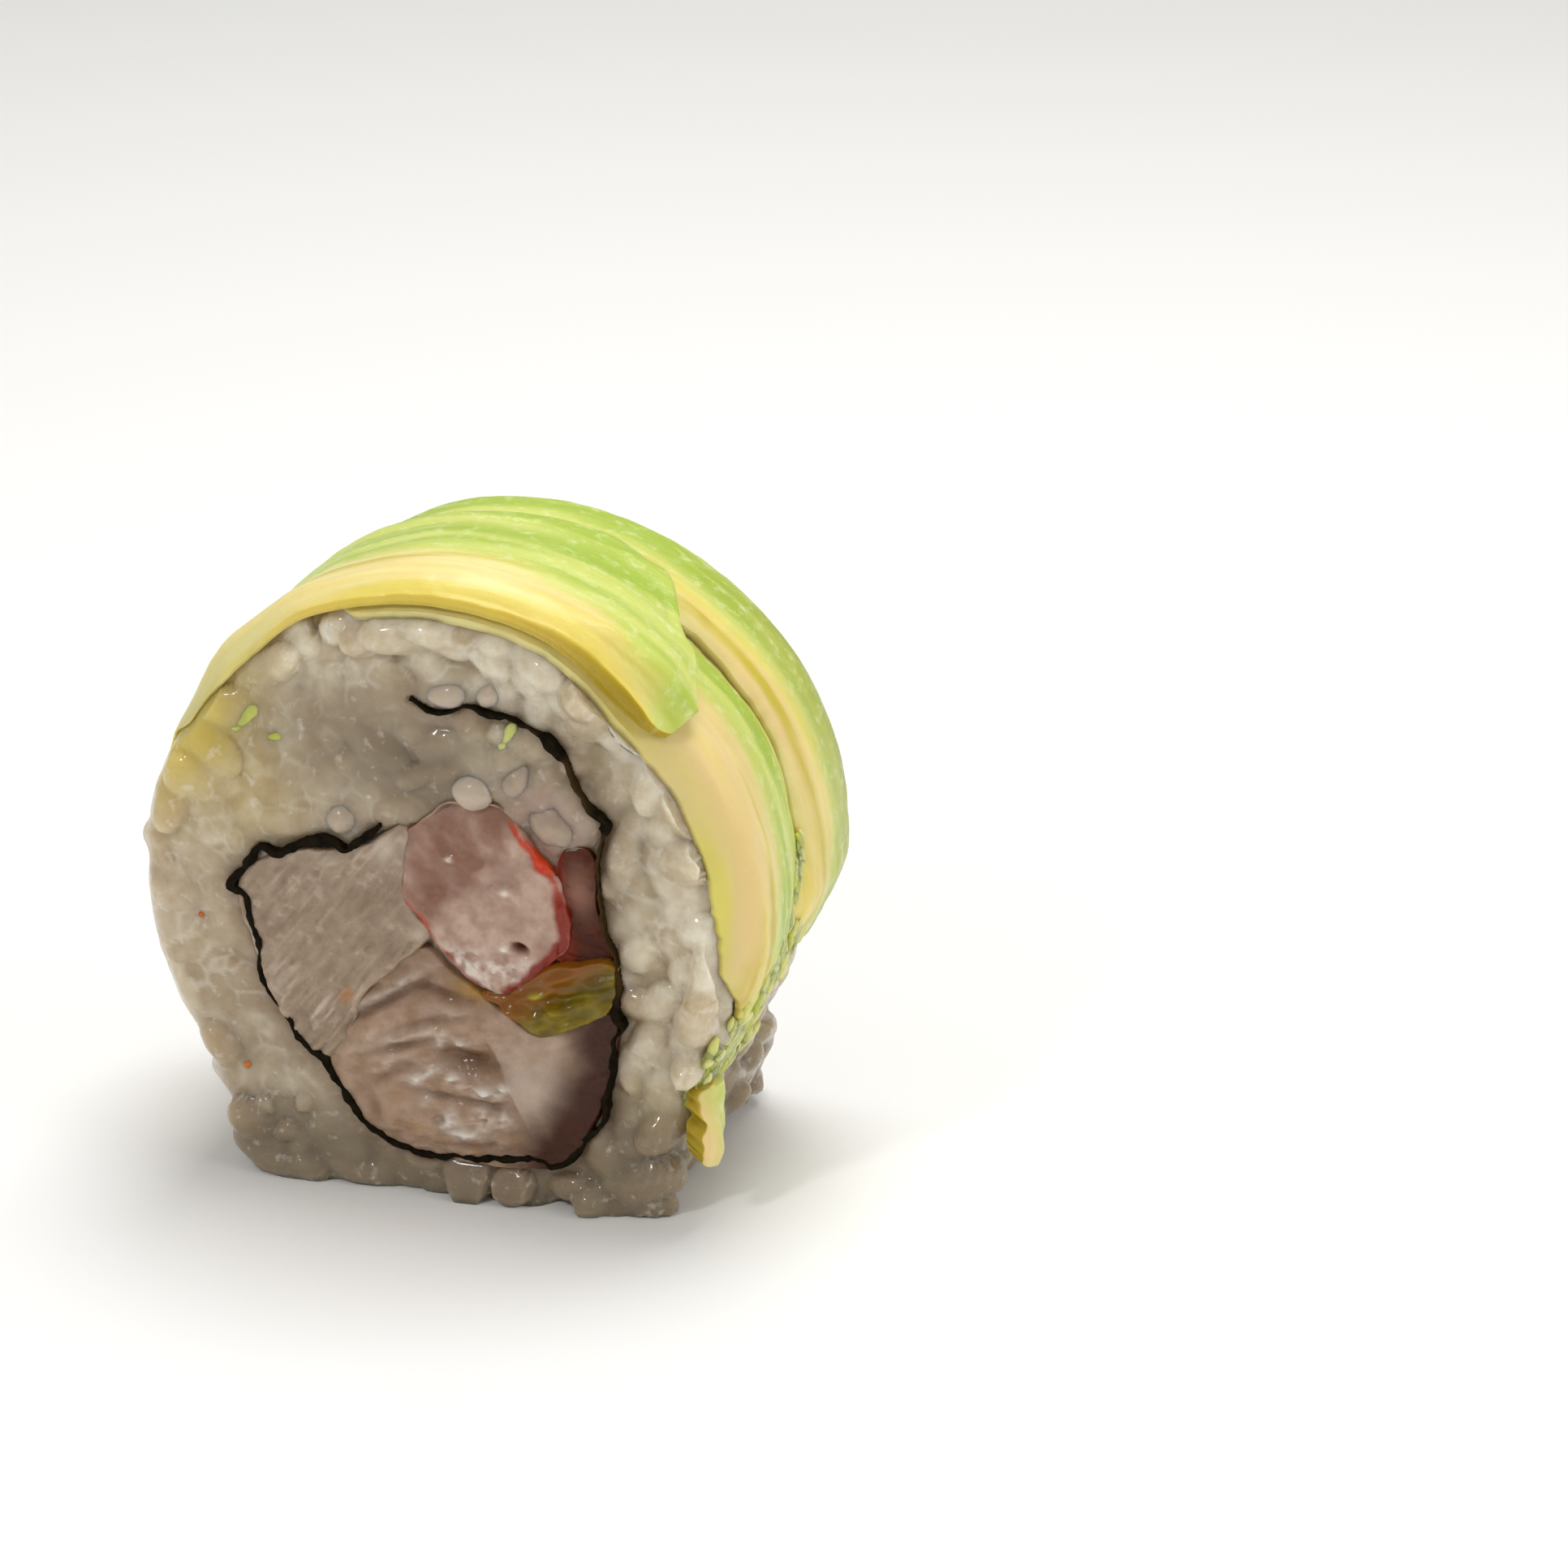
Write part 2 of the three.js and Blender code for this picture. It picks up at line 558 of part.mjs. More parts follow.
addPiece('octopus_lower', fitted(octopusLower, [noriRoom, octopusUpperRoom]), OCTOPUS_MAUVE);
addPiece('shrimp', fitted(shrimp, [noriRoom, octopusUpperRoom, octopusLowerRoom]), SHRIMP_WHITE);
addPiece('filling_avocado', fitted(fillingAvocado, [noriRoom, octopusLowerRoom, shrimpRoom]), AVOCADO_OLIVE);
addPiece('shrimp_strip', fitted(shrimpStrip, [noriRoom, shrimpRoom, avocadoRoom]), SHRIMP_RED);

// The avocado slices, the lower ones cut round the upper ones
const frontSliceRoom = slice(SLICE_FRONT, GAP);
const sideSliceRoom = slice(SLICE_SIDE, GAP);
const backSliceRoom = slice(SLICE_BACK, GAP);
const scrapRoom = slice(SCRAP, GAP);
addPiece('avocado_slice_front', slice(SLICE_FRONT), AVOCADO_GREEN);
addPiece('avocado_slice_side', fitted(slice(SLICE_SIDE), [frontSliceRoom]), AVOCADO_YELLOW);
addPiece('avocado_slice_back', fitted(slice(SLICE_BACK), [frontSliceRoom, sideSliceRoom]), AVOCADO_GREEN);
addPiece('avocado_scrap', slice(SCRAP), AVOCADO_GREEN);

addPiece('rice', rice([
  noriRoom, octopusUpperRoom, octopusLowerRoom, shrimpRoom, avocadoRoom, stripRoom,
  frontSliceRoom, sideSliceRoom, backSliceRoom, scrapRoom,
]), RICE_WHITE);

group.position.x = AXIS_OFFSET_X;

export default group;
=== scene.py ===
# %% [markdown]
# One piece of an inside-out sushi roll
#
# The real thing is made by hand: rice is pressed onto a sheet of nori, the sheet is turned over, the
# filling is laid on it, and the mat rolls it up with the rice outside. Avocado slices go over the top,
# and a wet knife cuts the roll into pieces. So almost nothing here is a clean shape, and each surface
# below starts from a simple formula and is then made uneven by another.
#
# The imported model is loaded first. It gives the place and size of every piece, in metres, with +Z up.

import itertools
import math

import bpy
import numpy as np
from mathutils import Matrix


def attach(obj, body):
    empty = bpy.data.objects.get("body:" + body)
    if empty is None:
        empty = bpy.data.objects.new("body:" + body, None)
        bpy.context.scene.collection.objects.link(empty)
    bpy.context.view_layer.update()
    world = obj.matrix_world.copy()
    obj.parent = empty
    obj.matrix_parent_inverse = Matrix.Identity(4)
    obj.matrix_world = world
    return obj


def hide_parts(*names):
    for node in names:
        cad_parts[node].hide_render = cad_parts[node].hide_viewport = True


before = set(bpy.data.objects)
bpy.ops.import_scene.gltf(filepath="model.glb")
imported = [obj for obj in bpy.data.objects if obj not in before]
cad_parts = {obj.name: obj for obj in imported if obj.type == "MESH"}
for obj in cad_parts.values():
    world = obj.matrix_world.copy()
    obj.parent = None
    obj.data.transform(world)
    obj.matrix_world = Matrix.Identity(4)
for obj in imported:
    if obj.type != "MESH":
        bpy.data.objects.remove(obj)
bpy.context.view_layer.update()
print("frame:", sorted(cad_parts))

# %% [markdown]
# Sizes
#
# Shapes are worked out in millimetres, because that is how one thinks about food, and are turned into
# metres at the last step. A place on the roll is given by an angle round its axis (0 is to the right and
# 90 straight up), a radius from the axis and a depth behind the front cut face. These are the numbers that
# the solids are made from, so each piece drawn here lies where its solid is.

# %% Sizes of the roll
MM = 0.001
ROLL_LENGTH = 22.5
AXIS_HEIGHT = 20.5
AXIS_X = -0.7
FRONT = -ROLL_LENGTH / 2

# The rice below its grains: its radius, how far it is behind the cut faces, and its drawn-in rims
CORE_RADIUS = 20.1
CORE_SET_BACK = 0.8
CORE_RIM_DROP = 0.7
CORE_RIM_DEPTH = 2.2
# Where the roll has settled: bell curves round it, in degrees, and their heights at the front and behind
SAG_DEPTH = 8
SETTLED = [
    {"angle": -57, "spread": 11, "front": 4.6, "back": 4.6},
    {"angle": -118, "spread": 10, "front": 4.6, "back": 4.6},
    {"angle": -88, "spread": 14, "front": 1.8, "back": 1.8},
    {"angle": 138, "spread": 20, "front": 0, "back": -0.7},
]


# %% Easing and the roll's outline
def smooth(value, low, high):
    """0 at low and 1 at high, eased between them as 3s^2 - 2s^3 of the share s. It falls where low is
    the greater of the two."""
    share = np.clip((value - low) / (high - low), 0, 1)
    return share * share * (3 - 2 * share)


def along(keys, angle):
    """The value at an angle, eased between keys given as (angle, value) with the angles falling."""
    angles, values = np.array(keys[::-1], float).T
    index = np.clip(np.searchsorted(angles, angle), 1, len(angles) - 1)
    rise = values[index] - values[index - 1]
    return values[index - 1] + rise * smooth(angle, angles[index - 1], angles[index])


def core_radius(angle, depth):
    """Radius of the rice below its grains: a circle, plus a bell curve of the angle for each settled
    place, less a rim that draws in at the cut faces, and cut off flat at the resting plane."""
    from_face = np.clip(np.minimum(depth, ROLL_LENGTH - depth), 0, CORE_RIM_DEPTH)
    radius = CORE_RADIUS - CORE_RIM_DROP * (1 - from_face / CORE_RIM_DEPTH) ** 2
    behind = smooth(depth, 0, SAG_DEPTH)
    for place in SETTLED:
        away = (angle - place["angle"] + 180) % 360 - 180
        rise = place["front"] + (place["back"] - place["front"]) * behind
        radius = radius + rise * np.exp(-0.5 * (away / place["spread"]) ** 2)
    sine = np.sin(np.radians(angle))
    to_floor = AXIS_HEIGHT / np.maximum(-sine, 1e-6)
    return np.where(sine < 0, np.minimum(radius, to_floor), radius)


def as_points(*coordinates):
    """Points from their coordinates, which may be numbers or arrays of matching shapes."""
    return np.stack(np.broadcast_arrays(*coordinates), axis=-1)


def on_roll(radius, angle, depth):
    """Points from radius, angle and depth: x and z turn with the angle, y is the depth."""
    turn = np.radians(angle)
    x = AXIS_X + radius * np.cos(turn)
    z = AXIS_HEIGHT + radius * np.sin(turn)
    return as_points(x, FRONT + depth, z)


def round_axis(x, z):
    """Radius and angle, in degrees, of places in the face, with x from the axis and z from the floor."""
    return np.hypot(x, z - AXIS_HEIGHT), np.degrees(np.arctan2(z - AXIS_HEIGHT, x))


print("radius at the top:", round(float(core_radius(90, 10)), 2), "mm")

# %% [markdown]
# From arrays to a mesh
#
# Every piece here is a stack of rings: rings of a slice along its length, or rings that start in the
# middle of a cut face, run out over its rim, along the side and in again at the back. Each is one grid
# of points whose columns close on themselves, with one more point in the middle of each end. A helper
# joins such a grid into a closed mesh and turns its faces outwards, so that light can also pass into it.

# %% Mesh helpers
def ring_faces(rows, columns):
    """Quads between neighbouring rings, and a fan of triangles at each end."""
    here = np.arange(columns)
    there = np.roll(here, -1)
    starts = np.arange(rows - 1)[:, None] * columns
    quads = np.stack([starts + here, starts + there, starts + columns + there, starts + columns + here], -1)
    first_pole = rows * columns
    last_row = first_pole - columns
    first_fan = np.stack([np.full(columns, first_pole), there, here], -1)
    last_fan = np.stack([np.full(columns, first_pole + 1), last_row + here, last_row + there], -1)
    return quads.reshape(-1, 4), np.concatenate([first_fan, last_fan])


def signed_volume(points, triangles):
    """Volume by the sum of corner, edge and corner: above 0 if the faces point outwards."""
    a, b, c = (points[triangles[:, k]] for k in range(3))
    return float(np.einsum("ij,ij->", a, np.cross(b, c))) / 6


def add_mesh(name, points, quads, triangles, attributes=None, uv=None):
    """A mesh object from points in millimetres. Attributes hold one value for each point, and uv two."""
    halves = np.concatenate([quads[:, [0, 1, 2]], quads[:, [0, 2, 3]], triangles])
    if signed_volume(points - points.mean(0), halves) < 0:
        quads, triangles = quads[:, ::-1], triangles[:, ::-1]
    mesh = bpy.data.meshes.new(name)
    mesh.from_pydata((points * MM).tolist(), [], quads.tolist() + triangles.tolist())
    mesh.polygons.foreach_set("use_smooth", np.ones(len(mesh.polygons), bool))
    for key, values in (attributes or {}).items():
        layer = mesh.attributes.new(key, "FLOAT", "POINT")
        layer.data.foreach_set("value", np.asarray(values, np.float32).ravel())
    if uv is not None:
        corner = np.zeros(len(mesh.loops), np.int32)
        mesh.loops.foreach_get("vertex_index", corner)
        mesh.uv_layers.new(name="flesh").data.foreach_set("uv", uv[corner].astype(np.float32).ravel())
    mesh.update()
    piece = bpy.data.objects.new(name, mesh)
    bpy.context.scene.collection.objects.link(piece)
    print(f"{name}: {len(halves)} triangles")
    return piece


def with_poles(grid):
    """A grid of rings as a flat list, with the mean of the first and of the last ring added."""
    flat = grid.reshape(-1, *grid.shape[2:])
    return np.concatenate([flat, grid[0].mean(0)[None], grid[-1].mean(0)[None]])


def ring_piece(name, rings, attributes=None, uv=None):
    """A closed piece from rings of points, with attributes on the same grid."""
    quads, triangles = ring_faces(*rings.shape[:2])
    values = {key: with_poles(grid) for key, grid in (attributes or {}).items()}
    return add_mesh(name, with_poles(rings), quads, triangles, values, None if uv is None else with_poles(uv))


def unit(vectors):
    """Vectors brought to length 1."""
    return vectors / np.linalg.norm(vectors, axis=-1)[..., None]


def shown(piece, material, slot, *nodes):
    """Gives a finished piece its material, rides it on the part's one body and lets it stand for nodes."""
    piece.data.materials.append(material)
    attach(piece, "root")
    if nodes:
        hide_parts(*nodes)


print("a grid of 3 rings of 8 points closes with", sum(len(faces) for faces in ring_faces(3, 8)), "faces")

# %% [markdown]
# Unevenness
#
# Food needs random forms that are smooth and have a size: lumps, fibres, streaks. The usual tool is
# lattice noise: random numbers on a lattice of cells, eased between the corners of each cell. With cells
# longer one way than the other, the same noise gives fibres.

# %% Lattice noise
LATTICE = 32


def cloud(points, cell, seed):
    """Smooth random values from -1 to 1: lattice numbers, weighted by the eased distance to each corner.
    cell is the lattice spacing in millimetres, one number or one for each axis."""
    table = np.random.default_rng(seed).uniform(-1, 1, (LATTICE, LATTICE, LATTICE))
    place = points / np.asarray(cell, float)
    low = np.floor(place).astype(int)
    ease = smooth(place - low, 0, 1)
    total = np.zeros(points.shape[:-1])
    for corner in itertools.product((0, 1), repeat=3):
        weight = np.prod(np.where(corner, ease, 1 - ease), axis=-1)
        i, j, k = np.moveaxis((low + corner) % LATTICE, -1, 0)
        total += weight * table[i, j, k]
    return total


def clouds(points, cell, seed, octaves=3):
    """Noise on several scales: each octave has half the cell and half the height of the one before."""
    cell = np.asarray(cell, float)
    return sum(cloud(points, cell / 2**k, seed + k) / 2**k for k in range(octaves)) / 1.5


def turned_axes(x, z, degrees):
    """Distances along a direction in the cut face and across it, as points for the noise."""
    turn = math.radians(degrees)
    forward = x * math.cos(turn) + z * math.sin(turn)
    across = z * math.cos(turn) - x * math.sin(turn)
    return as_points(forward, across, 0.0)


sample = clouds(np.random.default_rng(1).uniform(0, 50, (1000, 3)), 2, 5)
print("noise from", round(float(sample.min()), 2), "to", round(float(sample.max()), 2))

# %% [markdown]
# Materials
#
# Moist food has three things in common: light goes a little way in and comes out elsewhere
# (subsurface), the surface is not very rough, and a thin film of water gives small sharp highlights on
# top (coat). What differs is the colour and the pattern. Colours are given as the sRGB values that one
# would pick from a photograph, and one function turns them into the linear values that a renderer uses.

# %% Colour and node helpers
def linear(code):
    """An sRGB hex colour as linear red, green, blue and alpha: v/12.92 near black, else a power of 2.4."""
    channels = [int(code[i:i + 2], 16) / 255 for i in (1, 3, 5)]
    return [c / 12.92 if c <= 0.04045 else ((c + 0.055) / 1.055) ** 2.4 for c in channels] + [1.0]


def add_node(tree, kind, inputs=None, **settings):
    """Adds a node with its settings. Each input gets a value, or a link where a socket is given."""
    new = tree.nodes.new(kind)
    for key, value in settings.items():
        setattr(new, key, value)
    for key, value in (inputs or {}).items():
        if isinstance(value, bpy.types.NodeSocket):
            tree.links.new(value, new.inputs[key])
        else:
            new.inputs[key].default_value = value
    return new


def laid_over(tree, colour, layers):
    """Colours laid over a colour one after the other. A layer is a share from 0 to 1, which is a socket or
    the name of an attribute, and its colour. Colours are hex codes or sockets."""
    for share, layer in layers:
        if isinstance(share, str):
            share = add_node(tree, "ShaderNodeAttribute", attribute_name=share).outputs["Fac"]
        below, above = (linear(c) if isinstance(c, str) else c for c in (colour, layer))
        laid = add_node(tree, "ShaderNodeMix", {0: share, 6: below, 7: above}, data_type="RGBA")
        colour = laid.outputs[2]
    return colour


def patches(tree, place, size_mm, detail=4, contrast=0.3):
    """Soft patches of a size, from 0 to 1, on coordinates in metres: noise stretched to full contrast."""
    scale = 1 / (size_mm * MM)
    noise = add_node(tree, "ShaderNodeTexNoise", {"Vector": place, "Scale": scale, "Detail": detail})
    limits = {0: noise.outputs["Fac"], 1: 0.5 - contrast / 2, 2: 0.5 + contrast / 2}
    return add_node(tree, "ShaderNodeMapRange", limits).outputs[0]


# Red light goes furthest into flesh and blue light least; boiled rice is nearly neutral
FLESH_REACH = (1.0, 0.75, 0.5)
RICE_REACH = (1.0, 0.9, 0.75)
MOIST_FOOD_IOR = 1.38
WATER_FILM_ROUGHNESS = 0.1


def wet_shader(name, roughness, inside, depth_mm, coat, gloss, reach=FLESH_REACH):
    """A moist food's material, node tree and shader: inside is the share of light that enters the flesh,
    depth how far it goes, coat how much of the surface a film of water covers, and gloss the shine of
    the flesh itself."""
    material = bpy.data.materials.new(name)
    material.use_nodes = True
    tree = material.node_tree
    shader = tree.nodes["Principled BSDF"]
    settings = {
        "Roughness": roughness, "Subsurface Weight": inside, "Subsurface Radius": reach,
        "Subsurface Scale": depth_mm * MM, "Coat Weight": coat, "Coat Roughness": WATER_FILM_ROUGHNESS,
        "Specular IOR Level": gloss, "IOR": MOIST_FOOD_IOR,
    }
    for key, value in settings.items():
        shader.inputs[key].default_value = value
    return material, tree, shader


def finish(tree, shader, colour, height, depth_mm):
    """Links the colour, and a bump whose height runs over a depth in millimetres."""
    bump = add_node(tree, "ShaderNodeBump", {"Height": height, "Distance": depth_mm * MM, "Strength": 1.0})
    tree.links.new(colour, shader.inputs["Base Color"])
    tree.links.new(bump.outputs["Normal"], shader.inputs["Normal"])


def moist(name, light, dark, patch_mm, grain_mm, grain_depth_mm, layers, roughness=0.35, inside=0.7,
          depth_mm=1.2, coat=0.4, gloss=0.3):
    """A moist food: two colours in patches of a size, layers over them, and a fine grain in relief."""
    material, tree, shader = wet_shader(name, roughness, inside, depth_mm, coat, gloss)
    place = add_node(tree, "ShaderNodeTexCoord").outputs["Object"]
    patch = patches(tree, place, patch_mm)
    colour = laid_over(tree, light, [(patch, dark), *layers.items()])
    finish(tree, shader, colour, patches(tree, place, grain_mm, 5, 1.0), grain_depth_mm)
    return material


print("pale rice in linear light:", [round(c, 2) for c in linear("#D8D0C2")])

# %% [markdown]
# Outlines in the cut face
#
# The filling is soft and was pressed together, so its pieces have no straight edges. Each outline is a
# few points with a smooth curve through them (Catmull-Rom: each stretch takes its slopes from the
# neighbouring points). The points follow the solids, as x and z from the roll's axis and the
# resting plane. From the front face to the back one the whole filling turns by a few degrees.

# %% Outlines
FILLING_SET_BACK = 0.3
# Degrees by which the filling turns from face to face, and the height that it turns about
FILLING_TURN = 7
FILLING_TURN_HEIGHT = 18
OUTLINE_POINTS = 90
NORI_POINTS = 160
STRETCH_SAMPLES = 40

# The sheet's way through the cut face as x, z and thickness: it swells at folds and thins in between
NORI_PATH = [
    (-3.5, 25.8, 0.3), (-4.5, 25.0, 0.55), (-5.7, 24.0, 0.65), (-7.1, 24.5, 0.8), (-9.5, 23.7, 0.55),
    (-10.5, 23.2, 0.65), (-11.8, 23.6, 0.55), (-12.7, 22.1, 0.7), (-13.9, 20.6, 0.8), (-12.9, 19.9, 0.6),
    (-12.6, 18.0, 0.45), (-12.1, 16.3, 0.4), (-12.0, 14.2, 0.3), (-10.2, 11.5, 0.35), (-9.1, 9.9, 0.45),
    (-7.8, 9.0, 0.6), (-6.9, 7.6, 0.5), (-6.1, 6.4, 0.5), (-4.8, 4.7, 0.5), (-3.1, 3.6, 0.45),
    (-1.0, 3.0, 0.45), (1.2, 3.0, 0.35), (4.1, 3.2, 0.45), (7.0, 3.5, 0.35), (8.1, 3.1, 0.5),
    (9.4, 3.9, 0.55), (10.4, 5.5, 0.4), (11.6, 6.8, 0.4), (11.7, 8.6, 0.45), (12.3, 10.3, 0.4),
    (12.3, 12.4, 0.35), (13.0, 13.6, 0.4), (12.5, 14.6, 0.5), (12.7, 16.6, 0.3), (12.4, 18.7, 0.22),
    (11.8, 19.9, 0.2), (11.5, 22.1, 0.2), (11.3, 24.7, 0.2), (11.7, 26.6, 0.3), (11.9, 27.7, 0.75),
    (10.6, 29.0, 0.3), (9.8, 30.2, 0.35), (9.4, 31.6, 0.35), (8.7, 32.4, 0.75), (7.8, 33.2, 0.65),
    (7.1, 33.4, 0.25), (5.4, 34.2, 0.3), (4.2, 34.3, 0.5), (2.9, 34.6, 0.25), (1.4, 34.1, 0.3),
    (0.2, 34.1, 0.3), (-1.2, 34.8, 0.4),
]
OCTOPUS_UPPER = {"middle": (-7.5, 18), "outline": [
    (-13.4, 20.8), (-10.5, 23.2), (-6.0, 24.0), (-3.6, 24.9), (-1.9, 25.8), (-1.6, 24.4), (-1.9, 22.4),
    (-1.8, 20.8), (-0.2, 18.6), (-2.6, 16.1), (-4.7, 13.9), (-5.9, 11.2), (-6.6, 9.6), (-8.2, 9.1),
    (-10.8, 12.2), (-12.4, 16.3),
]}
OCTOPUS_LOWER = {"middle": (3, 8.5), "outline": [
    (-7.4, 9.0), (-5.8, 12.6), (-3.2, 15.6), (-0.7, 17.6), (1.6, 15.7), (4.6, 13.9), (6.8, 12.6),
    (9.0, 13.1), (12.3, 14.2), (12.0, 9.6), (10.3, 5.2), (7.9, 3.0), (1.0, 2.8), (-4.2, 4.1),
]}
SHRIMP = {"middle": (3, 21.3), "outline": [
    (-1.7, 25.2), (-0.6, 26.5), (1.5, 27.8), (4.6, 27.8), (5.9, 26.7), (7.3, 24.8), (8.6, 23.2), (9.3, 20.9),
    (9.2, 19.0), (7.9, 17.3), (6.6, 15.8), (5.0, 14.9), (3.5, 15.3), (2.1, 16.1), (0.6, 17.7), (-0.5, 19.5),
    (-1.9, 21.0), (-1.8, 22.9),
]}
FILLING_AVOCADO = {"middle": (8.4, 15.1), "outline": [
    (3.3, 14.9), (5.2, 15.1), (6.7, 16.3), (8.3, 17.4), (10.2, 17.8), (12.2, 18.0), (12.6, 16.5),
    (12.5, 15.3), (11.4, 14.1), (9.5, 13.1), (7.7, 12.3), (6.3, 12.9), (5.0, 13.9),
]}
SHRIMP_STRIP = {"middle": (10.4, 20.4), "outline": [
    (9.3, 25.4), (10.9, 25.2), (11.2, 21.6), (12.1, 18.2), (9.9, 17.5), (8.6, 18.0), (9.2, 20.4), (8.6, 23.4),
]}
FILLINGS = [OCTOPUS_UPPER, OCTOPUS_LOWER, SHRIMP, FILLING_AVOCADO, SHRIMP_STRIP]


def smooth_path(points, count, closed):
    """Points evenly spaced along a Catmull-Rom curve: on each stretch a cubic of the share t, with
    slopes from the neighbours, sampled finely and then spaced by length. Columns after x and z, such
    as a width, are eased along with them."""
    keys = np.array(points, float)
    if closed:
        before, start, end, after = (np.roll(keys, shift, 0) for shift in (1, 0, -1, -2))
    else:
        ends = np.concatenate([2 * keys[:1] - keys[1:2], keys, 2 * keys[-1:] - keys[-2:-1]])
        before, start, end, after = ends[:-3], ends[1:-2], ends[2:-1], ends[3:]
    t = np.linspace(0, 1, STRETCH_SAMPLES, endpoint=False)[None, :, None]
    before, start, end, after = (p[:, None] for p in (before, start, end, after))
    cubic = start + 0.5 * t * (end - before + t * (
        2 * before - 5 * start + 4 * end - after + t * (3 * (start - end) + after - before)))
    fine = np.concatenate([cubic.reshape(-1, keys.shape[1]), keys[:1] if closed else keys[-1:]])
    length = np.concatenate([[0], np.cumsum(np.linalg.norm(np.diff(fine[:, :2], axis=0), axis=1))])
    wanted = np.linspace(0, length[-1], count, endpoint=not closed)
    return np.stack([np.interp(wanted, length, column) for column in fine.T], -1)


def turn_with_depth(x, z, depth, direction=1):
    """Points of the face carried to a depth: turned round a point on the axis by an even twist."""
    turn = direction * math.radians(FILLING_TURN) * depth / ROLL_LENGTH
    up = z - FILLING_TURN_HEIGHT
    return x * np.cos(turn) - up * np.sin(turn), FILLING_TURN_HEIGHT + x * np.sin(turn) + up * np.cos(turn)


def distance_to(x, z, path, closed):
    """Shortest distance from points to a chain of straight stretches."""
    nearest = np.full(x.shape, np.inf)
    ends = np.roll(path, -1, 0) if closed else path[1:]
    for (ax, az), (bx, bz) in zip(path, ends):
        run, rise = bx - ax, bz - az
        share = np.clip(((x - ax) * run + (z - az) * rise) / (run * run + rise * rise), 0, 1)
        nearest = np.minimum(nearest, np.hypot(x - ax - share * run, z - az - share * rise))
    return nearest


def inside(x, z, path):
    """Whether points are inside a closed chain: its stretches are crossed an odd number of times."""
    crossed = np.zeros(x.shape, bool)
    for (ax, az), (bx, bz) in zip(path, np.roll(path, -1, 0)):
        if az != bz:
            crossed ^= ((az > z) != (bz > z)) & (x < ax + (z - az) * (bx - ax) / (bz - az))
    return crossed


for section in FILLINGS:
    section["path"] = smooth_path(section["outline"], OUTLINE_POINTS, True)
nori_path = smooth_path(NORI_PATH, NORI_POINTS, False)[:, :2]
print("nori is", round(float(np.linalg.norm(np.diff(nori_path, axis=0), axis=1).sum()), 1), "mm long")

# %% [markdown]
# Filling
#
# Each piece of filling is a tube through the roll, closed by two cut faces. A face is drawn as rings
# from a middle point out to the outline, and its last rings curve back over a rounded edge. Its height
# is a formula of the place in the face, given by each piece: fibres, lumps or a hollow. The rings are
# close together on the faces, where the detail is, and one long band of faces makes the hidden side.

# %% Filling surface
FACE_RINGS = 72
FACE_COLUMNS = 240
# Below 1, this power of the share crowds the rings towards the outline
RING_CROWDING = 0.8
EDGE_ROUNDING = 0.2
PRESSED_OUT = 0.1
TORN_BY = 0.16


def mounds(x, z, rows):
    """The sum of bell curves. A row gives a middle, a length and a width in millimetres, the degrees by
    which the length is turned, and a height."""
    total = np.zeros(np.shape(x))
    for middle_x, middle_z, length, width, degrees, height in rows:
        place = turned_axes(x - middle_x, z - middle_z, degrees)
        total += height * np.exp(-((place[..., 0] / length) ** 2) - (place[..., 1] / width) ** 2)
    return total


def lumps(x, z, size, seed, degrees=0, octaves=3):
    """Noise over the cut face with cells of a size, or of a length and a width along a direction."""
    long, wide = size if isinstance(size, tuple) else (size, size)
    return clouds(turned_axes(x, z, degrees), (long, wide, 1), seed, octaves)


def torn_outline(section):
    """The outline moved out a little, so that neighbours press into each other, and torn by noise."""
    edge = smooth_path(section["outline"], FACE_COLUMNS, True)
    forward = unit(np.roll(edge, -1, 0) - np.roll(edge, 1, 0))
    outward = as_points(forward[:, 1], -forward[:, 0])
    turns = np.sign(np.sum(outward * (edge - edge.mean(0))))
    wave = lumps(edge[:, 0], edge[:, 1], 1.1, 19, 0, 2)
    return edge + turns * outward * (PRESSED_OUT + TORN_BY * wave)[:, None]


def filling_grid(section, relief):
    """Rings of a filling piece. On a face the point is the middle plus a share of the way to the outline,
    raised by relief(x, z) and lowered by a quarter circle over the last bit to the outline."""
    edge = torn_outline(section)
    middle = np.array(section["middle"])
    shares = np.linspace(0, 1, FACE_RINGS + 1)[1:] ** RING_CROWDING
    flat = middle + shares[:, None, None] * (edge - middle)
    x, z = flat[..., 0], flat[..., 1]
    to_edge = np.clip(distance_to(x, z, edge, True) / EDGE_ROUNDING, 0, 1)
    to_edge[-1] = 0
    drop = EDGE_ROUNDING * (1 - np.sqrt(1 - (1 - to_edge) ** 2))
    proud = relief(x, z) * smooth(to_edge, 0, 1) - drop
    return x, z, proud


def filling(name, section, relief, attributes):
    """A filling piece: the front face's rings, and the same rings in reverse for the back face."""
    x, z, proud = filling_grid(section, relief)
    values = {key: np.clip(value, 0, 1) for key, value in attributes(x, z).items()}
    front_x, front_z = turn_with_depth(x, z, FILLING_SET_BACK)
    back_x, back_z = turn_with_depth(x, z, ROLL_LENGTH - FILLING_SET_BACK)
    front = as_points(front_x + AXIS_X, FRONT + FILLING_SET_BACK - proud, front_z)
    back = as_points(back_x + AXIS_X, FRONT + ROLL_LENGTH - FILLING_SET_BACK + proud, back_z)
    rings = np.concatenate([front, back[::-1]])
    both = {key: np.concatenate([grid, grid[::-1]]) for key, grid in values.items()}
    return ring_piece(name, rings, both)


print("each cut face of a filling has", FACE_RINGS * FACE_COLUMNS, "points")

